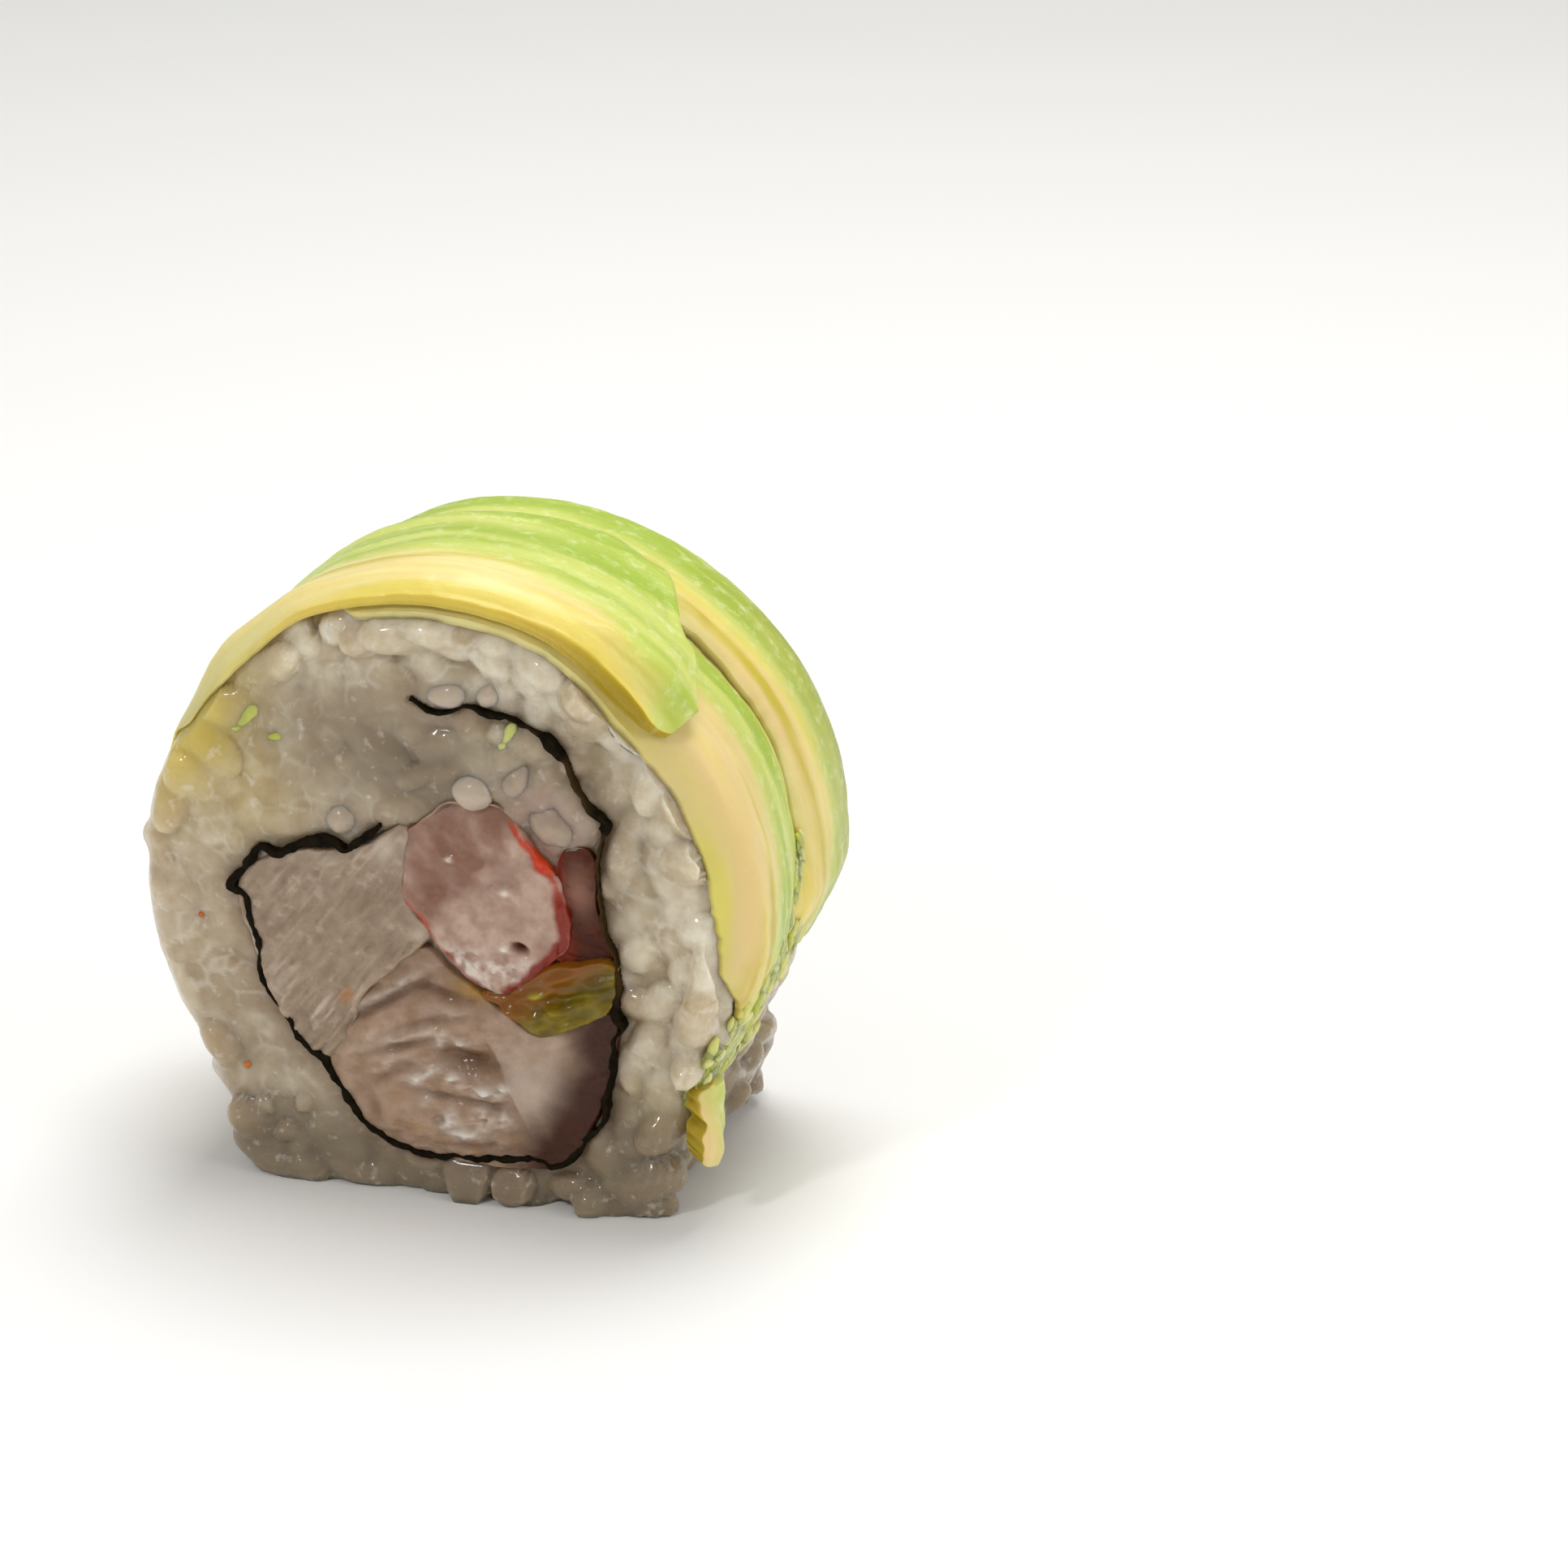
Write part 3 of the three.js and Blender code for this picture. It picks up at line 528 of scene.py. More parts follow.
# %% [markdown]
# Upper piece of octopus
#
# Cooked octopus meat is pale, with fine fibres that the knife leaves as ridges. The upper piece has its
# fibres running up to the right. Sculpting could give them too, but long, narrow noise turned to the
# fibres' direction does it in one line, and a few mounds at given places add what the noise can't know.

# %% Upper octopus
# Mounds and hollows of the face, in the order that mounds() takes
UPPER_MOUNDS = [
    (-3.0, 24.4, 1.0, 0.7, 60, 0.35), (-5.0, 23.6, 0.7, 0.4, 20, 0.3), (-6.9, 23.0, 0.9, 0.4, 10, 0.3),
    (-1.4, 18.3, 0.5, 0.9, 45, 0.3), (-2.9, 16.3, 1.4, 0.4, 42, 0.25), (-9.0, 17.0, 2.6, 1.6, 56, 0.25),
    (-5.6, 19.0, 2.6, 1.2, 56, -0.2), (-11.3, 19.8, 1.2, 1.2, 0, 0.2),
]
# Painted highlights where the face catches the light, in the order that mounds() takes
UPPER_HIGHLIGHTS = [(-3.0, 24.5, 1.0, 0.7, 60, 1), (-6.9, 23.2, 0.8, 0.4, 10, 0.7), (-0.9, 18.6, 0.4, 0.4, 0, 1)]
UPPER_STAIN = [(-6.0, 13.7, 0.55, 0.4, 60, 0.7)]


def upper_low_end(x, z):
    """1 at the lower left end of the piece, where the ridges are sharpest."""
    return smooth(z + 0.25 * x, 15.5, 9.0)


def upper_ridges(x, z):
    """Ridges 0.45 mm apart and 2.5 mm long, running up to the right."""
    return lumps(x, z, (2.6, 0.45), 11, 52, 2)


def upper_relief(x, z):
    """The mounds, lumps 3 mm wide, ridges that grow towards the low end, and a fine crumble."""
    ridges = (0.14 + 0.2 * upper_low_end(x, z)) * upper_ridges(x, z)
    broad = 0.1 + mounds(x, z, UPPER_MOUNDS) + 0.25 * lumps(x, z, 3.0, 12)
    return broad + ridges + 0.1 * lumps(x, z, 0.7, 13)


def upper_attributes(x, z):
    """Painted shade where the ridges and the broad lumps lie low, painted highlights where the ridges stand
    up, on the fine crumble and on three spots, and one orange stain.
    """
    ridges = upper_ridges(x, z)
    # Painted highlights on the ridges' tops and on the fine crumble
    tops = 0.5 * smooth(ridges, 0.2, 0.9) * (0.5 + upper_low_end(x, z))
    crumble = 0.25 * smooth(lumps(x, z, 0.7, 13), 0.25, 0.7)
    return {
        # Painted shade in the low places
        "hollow_shade": 0.35 * smooth(ridges, -0.1, -0.9) + 0.35 * smooth(lumps(x, z, 3.0, 12), 0, -0.8),
        "pale": tops + 0.7 * mounds(x, z, UPPER_HIGHLIGHTS) + crumble,
        "stain": mounds(x, z, UPPER_STAIN),
    }


# Its colours include painted shade in the low places and painted highlights on the ridges
boiled_octopus = moist(
    # Boiled octopus cut across: beige meat with fine bundles, faintly pink, under a film of water
    "boiled_octopus", "#AC9680", "#9C866E", 1.4, 0.3, 0.14,
    {"hollow_shade": "#806852", "pale": "#D4C6B4", "stain": "#C07A34"}, roughness=0.3, inside=0.6, coat=0.5)
shown(filling("octopus_upper_meat", OCTOPUS_UPPER, upper_relief, upper_attributes),
      boiled_octopus, "octopus", "octopus_upper")

# %% [markdown]
# Lower piece of octopus
#
# This piece was cut across a bend, so its face has a hollow with torn ridges below it, a smooth lobe on
# the right, and it darkens towards the nori on the right, partly by its purplish skin and partly by painted
# shade; its pit and folds have painted shade too. Noise alone looks like sand here. The torn meat
# is therefore mounds in given places, and noise only breaks them up.

# %% Lower octopus
# The pit, folds, ridges and crumbs, in the order that mounds() takes
LOWER_PIT = (2.2, 9.9, 2.4, 0.9, -8, 1.0)
LOWER_FOLDS = [
    (-3.6, 13.4, 3.2, 0.35, 33, 1.0), (0.6, 14.6, 1.6, 0.4, -10, 0.7), (-2.4, 10.4, 2.2, 0.3, 18, 0.8),
    (-3.4, 8.2, 1.4, 0.3, 30, 0.6), (-1.0, 12.2, 1.6, 0.3, 24, 0.5), (-4.4, 6.0, 0.4, 1.4, 20, 0.5),
    (0.4, 7.2, 1.8, 0.3, -6, 0.8), (3.6, 6.9, 1.5, 0.3, -8, 0.8), (2.6, 3.9, 2.2, 0.3, 3, 0.6),
]
LOWER_RIDGES = [
    (-3.0, 14.4, 3.0, 0.4, 34, 0.5), (-1.8, 11.3, 2.0, 0.35, 20, 0.5), (-3.4, 9.2, 1.6, 0.35, 28, 0.35),
    (0.6, 13.2, 1.4, 0.4, 5, 0.3), (-4.9, 10.6, 1.2, 0.35, 40, 0.3),
]
LOWER_CRUMBS = [
    (-1.4, 8.3, 0.55, 0.45, 0, 0.8), (-0.3, 8.9, 0.6, 0.35, 20, 0.9), (0.9, 8.6, 0.7, 0.35, 5, 0.8),
    (2.2, 8.0, 0.7, 0.35, -10, 0.6), (3.6, 7.8, 0.8, 0.4, -10, 1.0), (4.8, 8.4, 0.45, 0.4, 30, 0.9),
    (0.9, 5.5, 0.7, 0.55, 20, 1.0), (2.0, 4.7, 0.9, 0.4, 0, 0.7), (3.3, 5.9, 0.8, 0.65, 0, 1.0),
    (4.7, 6.2, 0.5, 0.5, 0, 0.8), (-0.6, 6.8, 0.6, 0.5, 40, 0.4), (0.4, 11.2, 0.6, 0.35, 60, 0.7),
    (1.7, 11.2, 0.5, 0.35, 0, 0.7),
]
LOWER_LOBE = [(7.0, 8.9, 3.4, 3.6, 0, 1)]
LOWER_STAINS = [
    (-2.6, 6.8, 0.7, 0.4, 40, 0.4), (-1.4, 4.9, 0.8, 0.4, 0, 0.4), (2.8, 14.9, 1.3, 0.6, -15, 0.9),
]


def lower_lobe(x, z):
    """1 on the smooth lobe right of the pit: it starts with a sharp step along a slanting line."""
    return smooth(x - 3.5 - 0.46 * (11.5 - z), -0.2, 0.45) * mounds(x, z, LOWER_LOBE)


def lower_torn(x, z):
    """The torn meat: crumbs and ridges at chosen places, broken up by noise up to 1 mm wide."""
    marks = mounds(x, z, LOWER_CRUMBS) + 0.8 * mounds(x, z, LOWER_RIDGES)
    return marks * np.clip(0.75 + 1.1 * lumps(x, z, (1.0, 0.6), 24, 12), 0, 2)


def lower_relief(x, z):
    """A pit 1 mm deep, a lobe beside it, folds, torn meat, lumps, and a crumble off the lobe."""
    forms = 0.8 * lower_lobe(x, z) - 1.0 * mounds(x, z, [LOWER_PIT]) - 0.45 * mounds(x, z, LOWER_FOLDS)
    rough = 1 - 0.85 * lower_lobe(x, z)
    crumble = rough * (0.14 * lumps(x, z, (1.6, 0.6), 21, 15) + 0.05 * lumps(x, z, 0.5, 23))
    return forms + 0.6 * lower_torn(x, z) + crumble + 0.2 * lumps(x, z, 2.3, 22)


def lower_attributes(x, z):
    """Brown painted shade in the pit and folds, and painted shade towards the top and in the crumble's low
    places; pale torn meat with painted highlights, and pale along the lobe's step; purplish skin and painted
    shade within 4 mm of the nori on the right; a drenched yellow patch at the top, and two small stains of
    the same."""
    beside = distance_to(x, z, nori_path, False) + 0.9 * lumps(x, z, 2.6, 25, 0, 2)
    rough = 1 - lower_lobe(x, z)
    shade = 0.35 * smooth(z, 11.5, 14.5) + 0.3 * smooth(lumps(x, z, (1.6, 0.6), 21, 15), -0.1, -0.8)
    return {
        # Painted shade in the pit and folds, towards the top and in the crumble's low places
        "hollow_shade": 0.9 * mounds(x, z, [LOWER_PIT] + LOWER_FOLDS) + shade * rough,
        # Pale torn meat, partly painted highlights
        "pale": 1.1 * lower_torn(x, z) + 0.25 * lower_lobe(x, z),
        # Purplish skin and painted shade beside the nori on the right
        "skin": smooth(beside, 4.4, 1.4) * smooth(x + 0.25 * (9 - z), 5.5, 9.0),
        "stain": mounds(x, z, LOWER_STAINS),
    }


octopus_mauve = moist(
    # The same meat nearer the arm's skin: pinkish grey, with painted shade in its hollows and beside the nori
    "boiled_octopus_mauve", "#B89C86", "#A28468", 1.4, 0.35, 0.14,
    {"hollow_shade": "#6E4E36", "pale": "#E6DED4", "skin": "#44200E", "stain": "#A8803A"},
    roughness=0.35, inside=0.4, coat=0.2)
shown(filling("octopus_lower_meat", OCTOPUS_LOWER, lower_relief, lower_attributes),
      octopus_mauve, "octopus", "octopus_lower")

# %% [markdown]
# Shrimp
#
# A boiled shrimp is white inside, with a thin red skin where the shell was. Its cut face is smooth and
# moist. Here the upper left half is clearer and darker, the skin runs down the right side and
# round the foot, and the vein has left a small hole. The skin could be an object of its own, but it is
# so thin that it is only a colour: red within a short distance of a line of points.

# %% Shrimp
SHRIMP_RIM = np.array([
    (5.4, 26.8), (7.3, 24.7), (8.5, 23.2), (9.1, 20.9), (8.9, 19.1), (7.8, 17.5), (6.5, 16.1),
    (4.9, 15.1),
])
SHRIMP_FOOT = np.array([(-0.5, 19.0), (0.7, 17.6), (2.1, 16.0), (3.6, 15.2)])
SHRIMP_CORNER = np.array([(-2.4, 20.8), (-0.7, 19.4)])
SHRIMP_CLEAR = np.array([(-3.0, 19.0), (0.2, 20.2), (2.3, 22.0), (4.4, 23.9), (5.4, 25.7), (7.0, 29.0)])
SHRIMP_MOUNDS = [
    (6.0, 18.4, 0.55, 0.3, -20, -1.0), (5.1, 18.4, 0.4, 0.3, 0, 0.45), (5.2, 22.3, 0.5, 0.4, 0, 0.35),
    (3.9, 20.4, 0.8, 0.6, 30, 0.25), (1.4, 24.2, 0.5, 0.4, 0, 0.3), (7.0, 21.8, 1.0, 2.0, 15, 0.25),
    (2.2, 18.7, 1.4, 0.8, -30, 0.2), (0.6, 22.8, 1.2, 0.9, 30, -0.25),
]
# Painted glints on three bumps, in the order that mounds() takes
SHRIMP_GLINTS = [(5.1, 18.4, 0.35, 0.3, 0, 1), (5.2, 22.3, 0.3, 0.25, 0, 0.8), (1.4, 24.2, 0.25, 0.2, 0, 0.7)]
SHRIMP_VEIN = [(6.0, 18.4, 0.55, 0.3, -20, 1.0)]


def shrimp_froth(x, z):
    """1 along the foot, where the meat is torn and white."""
    return smooth(z + 0.1 * x, 19.0, 17.3)


def shrimp_relief(x, z):
    """A crown 0.4 mm high, the mounds with the vein's hole, lumps, a torn foot, and a top that sinks
    below the rice."""
    middle_x, middle_z = SHRIMP["middle"]
    crown = 0.4 - 0.01 * ((x - middle_x) ** 2 + (z - middle_z) ** 2)
    torn = 0.2 * shrimp_froth(x, z) * lumps(x, z, 0.7, 33)
    sunk = 0.7 * smooth(z - 0.2 * abs(x - 2), 25.5, 28)
    lumpy = 0.25 * lumps(x, z, 2.2, 31) + 0.06 * lumps(x, z, 0.6, 32)
    return crown + mounds(x, z, SHRIMP_MOUNDS) + lumpy + torn - sunk


def shrimp_attributes(x, z):
    """Clear meat above a slanting line, white froth at the foot and painted glints on three bumps, red within
    about 0.6 mm of three lines where the skin was, brighter at the top, and the vein."""
    uneven = lumps(x, z, 1.3, 34)
    clear = smooth(z - np.interp(x, *SHRIMP_CLEAR.T) + 0.9 * uneven, -1.2, 1.2)
    clear = clear * (0.75 + 0.6 * lumps(x, z, (2.6, 1.2), 35, -50))
    froth = 0.8 * shrimp_froth(x, z) * smooth(lumps(x, z, 0.7, 33), -0.3, 0.5)
    narrow = 0.35 * smooth(z, 21, 24)
    rim = smooth(distance_to(x, z, SHRIMP_RIM, False) - 0.5 * uneven, 0.8 - narrow, 0.2 - narrow)
    foot = 0.75 * smooth(distance_to(x, z, SHRIMP_FOOT, False) - 0.2 * uneven, 0.45, 0.1)
    corner = 0.9 * smooth(distance_to(x, z, SHRIMP_CORNER, False) - 0.3 * uneven, 0.6, 0.1)
    return {
        "clear": clear,
        # White froth at the foot, and painted glints
        "pale": froth + mounds(x, z, SHRIMP_GLINTS),
        "skin": np.maximum(np.maximum(rim, foot), corner),
        "bright": np.maximum(rim * smooth(z + 0.4 * uneven, 21.5, 24.5), 0.8 * corner),
        "vein": mounds(x, z, SHRIMP_VEIN),
    }


shrimp_flesh = moist(
    # Boiled shrimp cut across: white, cloudy meat that light enters deeply, a clearer half, and red skin
    "boiled_shrimp", "#C8AA98", "#A88876", 1.3, 0.4, 0.12,
    {"clear": "#8E6450", "pale": "#ECE0D4", "skin": "#8A2000", "bright": "#CE3E12", "vein": "#6A1C0C"},
    roughness=0.25, inside=0.6, depth_mm=1.2, coat=0.5)
shown(filling("shrimp_meat", SHRIMP, shrimp_relief, shrimp_attributes), shrimp_flesh, "shrimp", "shrimp")

# %% [markdown]
# Shrimp skin and crushed avocado
#
# Between the shrimp and the nori lies a strip of skin, dark and clear like wet glass, and below it a piece
# of avocado that was crushed in rolling. Both are small, so a few lumps and two colours are enough.

# %% Strip and filling avocado
STRIP_BULGE = [(10.1, 22.9, 1.0, 1.8, 10, 1.0)]
CRUSHED_MOUNDS = [
    (7.2, 15.3, 0.9, 0.35, 20, 0.45), (8.3, 14.4, 0.7, 0.4, -10, 0.35), (11.2, 16.4, 1.2, 0.6, 20, 0.4),
    (5.6, 13.9, 0.9, 0.5, 10, 0.35), (9.2, 16.8, 1.1, 0.4, 25, 0.3), (9.8, 15.3, 1.8, 0.3, 20, -0.35),
]
# A painted highlight on one fold, in the order that mounds() takes
CRUSHED_HIGHLIGHTS = [(7.2, 15.3, 0.5, 0.25, 20, 0.9)]


def strip_relief(x, z):
    """A smooth bulge near the top and low lumps."""
    return mounds(x, z, STRIP_BULGE) * 0.5 - 0.35 + 0.2 * lumps(x, z, 1.5, 41)


def strip_attributes(x, z):
    """Pale on the bulge, and redder beside the shrimp."""
    return {"pale": 0.9 * mounds(x, z, STRIP_BULGE), "skin": 0.7 * smooth(x + 0.1 * z, 12.0, 10.8)}


def crushed_relief(x, z):
    """A few large folds, and finer ones about 1 mm wide that slant up to the right."""
    return 0.3 + 1.4 * mounds(x, z, CRUSHED_MOUNDS) + 0.5 * lumps(x, z, (2.4, 1.1), 45, 22, 2)


def crushed_attributes(x, z):
    """Painted shade in the folds' hollows, amber at the upper left, where it is drenched and clear, and
    painted highlights on the folds' tops and on one fold.
    """
    folds = lumps(x, z, (2.4, 1.1), 45, 22, 2)
    return {
        # Painted shade in the folds' hollows
        "hollow_shade": smooth(folds, -0.1, -0.8),
        "amber": np.maximum(smooth(z - 0.75 * x, 7.8, 10.0), smooth(x, 6.0, 4.6)),
        # Painted highlights on the folds' tops
        "pale": 0.6 * smooth(folds, 0.3, 0.9) * smooth(x, 5, 9) + mounds(x, z, CRUSHED_HIGHLIGHTS),
    }


skin_strip = moist(
    # Shrimp skin and juice: clear, so it looks as dark as what lies behind it
    "shrimp_skin_wet", "#561C02", "#341000", 1.3, 0.5, 0.1, {"pale": "#8E6654", "skin": "#862204"},
    roughness=0.3, inside=0.3, coat=0.15, gloss=0.2)
crushed_avocado = moist(
    # Avocado that was crushed in the rolling: olive, soaked, with painted highlights on its torn folds and
    # painted shade between them
    "crushed_avocado", "#8A7606", "#665404", 1.6, 0.5, 0.06,
    {"hollow_shade": "#544602", "amber": "#84500C", "pale": "#A8A034"}, roughness=0.25, inside=0.5, coat=0.4)
shown(filling("shrimp_skin_strip", SHRIMP_STRIP, strip_relief, strip_attributes),
      skin_strip, "shrimp_skin", "shrimp_strip")
shown(filling("crushed_avocado", FILLING_AVOCADO, crushed_relief, crushed_attributes),
      crushed_avocado, "avocado_dark", "filling_avocado")

# %% [markdown]
# Nori
#
# Nori is pressed seaweed, a fraction of a millimetre thick. Against moist rice it softens, swells and
# follows every grain, so at the cut it shows as a black line that wavers and changes in width. A sheet
# that is rolled up by a simulation winds far too neatly. So its way is a curve through given points, each
# with a thickness, and the mesh is rings that go once round the sheet's section.

# %% Nori
NORI_STEPS = 640
NORI_BODY = 0.4
# Softened nori is thinner than it was drawn, never thinner than twice this, and ragged at its cut edges
NORI_KEPT = 0.8
NORI_LEAST_HALF = 0.06
RAGGED_DEPTH = 1.2


def nori_rings():
    """Rings round the sheet: out along one side, over the back edge, and home along the other side. The
    way is pushed sideways by noise, and the thickness and the two cut edges, which stand a little out of
    the filling, waver."""
    path = smooth_path(NORI_PATH, NORI_STEPS, False)
    path, width = path[:, :2], path[:, 2:]
    forward = unit(np.gradient(path, axis=0))
    sideways = as_points(-forward[:, 1], forward[:, 0])
    length = ROLL_LENGTH - 2 * FILLING_SET_BACK
    depths = np.concatenate([[0, 0.05, 0.3, 0.7, 1.4], np.linspace(2.8, length - 2.8, 8),
                             length - np.array([1.4, 0.7, 0.3, 0.05, 0])])
    around = np.concatenate([depths, depths[::-1]])
    side = np.concatenate([np.ones(len(depths)), -np.ones(len(depths))])
    from_cut = np.minimum(around, length - around)
    # Bumps are three times as long through the roll as along the way, and each side has its own
    place = as_points(path[:, :1], around / 3, path[:, 1:])
    wave = 0.12 * clouds(place, 1.2, 51, 2) + 0.08 * cloud(place, 0.5, 52)
    proud = 0.05 + 0.3 * smooth(width, 0.22, 0.5)
    swell = (1 + 0.7 * clouds(place, 0.8, 53, 2)) * (0.85 + 0.15 * smooth(from_cut, 0, 0.05))
    edge = side * 0.1 * clouds(place + 9.0 * side[None, :, None], 0.45, 54, 2)
    offset = wave + side * np.maximum(NORI_KEPT * width * swell / 2, NORI_LEAST_HALF) + edge
    x = path[:, :1] + sideways[:, :1] * offset
    z = path[:, 1:] + sideways[:, 1:] * offset
    ragged = (0.16 * clouds(place, 1.0, 55, 3) - proud) * (1 - smooth(from_cut, 0, RAGGED_DEPTH))
    depth = FILLING_SET_BACK + around + np.sign(length / 2 - around) * ragged
    x, z = turn_with_depth(x, z, depth)
    thin = np.broadcast_to(smooth(path[:, :1], 6, 9) * smooth(path[:, 1:], 14, 17), x.shape)
    return as_points(x + AXIS_X, FRONT + depth, z), {"thin": 0.6 * thin * smooth(width, 0.6, 0.25)}


moist_nori = moist(
    # Toasted nori gone soft: black, pressed in flakes of about 0.6 mm, almost without gloss, and brown
    # where it is thin enough to let light through
    "moist_nori", "#0C0702", "#1E1606", 0.6, 0.3, 0.1, {"thin": "#4E3A1C"},
    roughness=0.7, inside=0.0, coat=0.0, gloss=0.12)
shown(ring_piece("nori_sheet", *nori_rings()), moist_nori, "nori", "nori")

# %% [markdown]
# Where the avocado lies
#
# The rice is pressed flat under the avocado, so the slices' sizes come before the rice. Each slice runs round
# the roll from a start angle to an end angle. Its keys, at a few angles each, follow those of the solids:
# the depths of its two edges, how far it is lifted off the rice, its thickness at the front edge and at
# the crown, and the depth at which cream turns to green. The last two are for the colours: how much
# of the knife's cut shows on the front edge, and how far across the slice the olive-green painted shade along
# its back begins.

# %% Slice sizes
DRAPE = 1.1
DRAPE_DEPTH = 2.4


def drape(angle, depth):
    """How far the soft front edge of the avocado sags over the rim of the rice, at the left and the
    right: most at the face, and nothing from DRAPE_DEPTH on."""
    right = smooth(angle, 68, 45) * smooth(angle, -24, -14)
    left = 0.7 * smooth(angle, 112, 130) * (1 - 0.5 * smooth(angle, 140, 160))
    return DRAPE * (right + left) * smooth(depth, DRAPE_DEPTH, 0)


SLICE_SEAT = 0.5
END_CUT = 1.2
BACK_EDGE_SHARE = 0.45
END_THINNING = 0.5
LEVEL = ((180, 0), (-180, 0))

SLICE_SIDE = {
    "start": 110, "end": -21, "round_start": 10, "round_end": 14, "lift": LEVEL, "tuck": LEVEL, "seed": 71,
    "front": ((126, 0.2), (120, -0.1), (45, -0.1), (30, 0.2), (0, 0.4), (-21, 2.2)),
    "back": ((126, 9.5), (110, 11.0), (45, 12.4), (25, 13.4), (10, 12.6), (-5, 10.8), (-21, 8.6)),
    "edge": ((126, 0.4), (110, 0.6), (45, 0.6), (30, 0.5), (-21, 0.4)),
    "crown": ((126, 0.5), (110, 0.7), (50, 0.7), (32, 1.3), (0, 1.4), (-21, 0.9)),
    "green": ((45, 6.5), (31, 6.3), (23, 6.0), (12, 5.6), (0, 4.6), (-8, 3.9), (-15, 3.4)),
    "cut": LEVEL, "olive_shade": 0.75,
}
SLICE_FRONT = {
    "start": 168, "end": 40, "round_start": 20, "round_end": 6, "seed": 72,
    "front": ((168, 5.0), (156, 2.4), (146, 0.8), (132, 0), (115, -0.3), (40, -0.3)),
    "back": ((168, 9.5), (150, 12.8), (110, 14.6), (72, 15.2), (60, 14.0), (48, 8.0), (40, 3.4)),
    "lift": ((168, 0), (148, 0), (128, 0.8), (110, 1.0), (55, 1.1), (40, 1.7)),
    "tuck": ((168, 0), (148, 0), (128, 0.4), (90, 0.5), (60, 0.7), (40, 0.2)),
    "edge": ((168, 0.05), (150, 0.15), (130, 0.4), (110, 0.6), (75, 0.8), (52, 1.4), (40, 0.6)),
    "crown": ((168, 0.1), (150, 0.3), (130, 0.7), (110, 1.0), (90, 1.3), (52, 1.6), (40, 0.7)),
    "green": ((168, 6.5), (140, 6.0), (110, 5.4), (85, 4.6), (65, 3.2), (50, 0.8), (40, -1.0)),
    "cut": ((168, 0), (130, 0.4), (105, 0.7), (60, 0.9), (45, 1)), "olive_shade": 0.75,
}
SLICE_BACK = {
    "start": 164, "end": -15, "round_start": 14, "round_end": 14, "lift": LEVEL, "tuck": LEVEL, "seed": 73,
    "front": ((164, 14.2), (150, 13.4), (120, 12.9), (60, 12.8), (25, 13.0), (10, 12.2), (-5, 10.8),
              (-15, 11.6)),
    "back": ((164, 19.0), (150, 21.8), (120, 22.7), (20, 22.8), (0, 22.0), (-15, 19.0)),
    "edge": ((164, 0.4), (100, 0.6), (40, 0.8), (-15, 0.6)),
    "crown": ((164, 0.5), (130, 0.8), (95, 1.2), (60, 1.5), (20, 2.1), (0, 2.1), (-15, 1.2)),
    "green": ((164, 15), (80, 15.6), (60, 15.8), (45, 15.4), (35, 15.6), (11, 15.6), (-2, 14.4), (-13, 12.5)),
    "cut": LEVEL, "olive_shade": -0.8,
}
SCRAP = {
    "start": -29, "end": -41, "round_start": 4, "round_end": 4, "tuck": LEVEL, "seed": 74,
    "front": ((-29, 0.6), (-41, -0.2)),
    "back": ((-29, 3.4), (-41, 3.0)),
    "lift": ((-29, 0.1), (-41, 1.3)),
    "edge": ((-29, 0.8), (-41, 1.4)),
    "crown": ((-29, 1.3), (-41, 2.0)),
    "green": ((-29, 0.2), (-41, 1.2)),
    "cut": ((-29, 1), (-41, 1)), "olive_shade": 0.75,
}
for name, shape in (("front", SLICE_FRONT), ("side", SLICE_SIDE), ("back", SLICE_BACK)):
    arc = math.radians(shape["start"] - shape["end"]) * CORE_RADIUS
    print("the", name, "slice is about", round(arc), "mm long round the roll")

# %% [markdown]
# Rice
#
# Sushi rice is pressed, so its grains are neither loose nor gone: where they were rubbed they melt into a
# paste, and elsewhere each one still shows. Thousands of separate grains would only touch, never melt.
# So the rice is one skin. It starts as the smooth form of the core, and every point is then pushed out along
# its normal to where that line leaves the grains. Where several grains reach the same place, a soft
# maximum, k ln(e^(a/k) + e^(b/k)), joins them: with a small k the crease between them is sharp, with a
# large one they flow together.

# %% Rice skin below the grains
COLUMNS = 516
# The filling hides the middle of each face, so few of its rings lie there
HIDDEN_SHARE = 0.3
HIDDEN_RINGS = 7
FRONT_RINGS = 73
BACK_RINGS = 41
BEND_RINGS = 6
SIDE_RINGS = 53
# The rim of the cut faces is rounded where it is bare, and sharper under the slices that press on it
RIM_ROUNDING = ((180, 1.5), (165, 0.7), (112, 0.6), (104, 1.1), (84, 1.1), (72, 0.5), (-12, 0.5), (-32, 1.1),
                (-48, 1.6), (-110, 1.2), (-150, 1.5), (-180, 1.5))


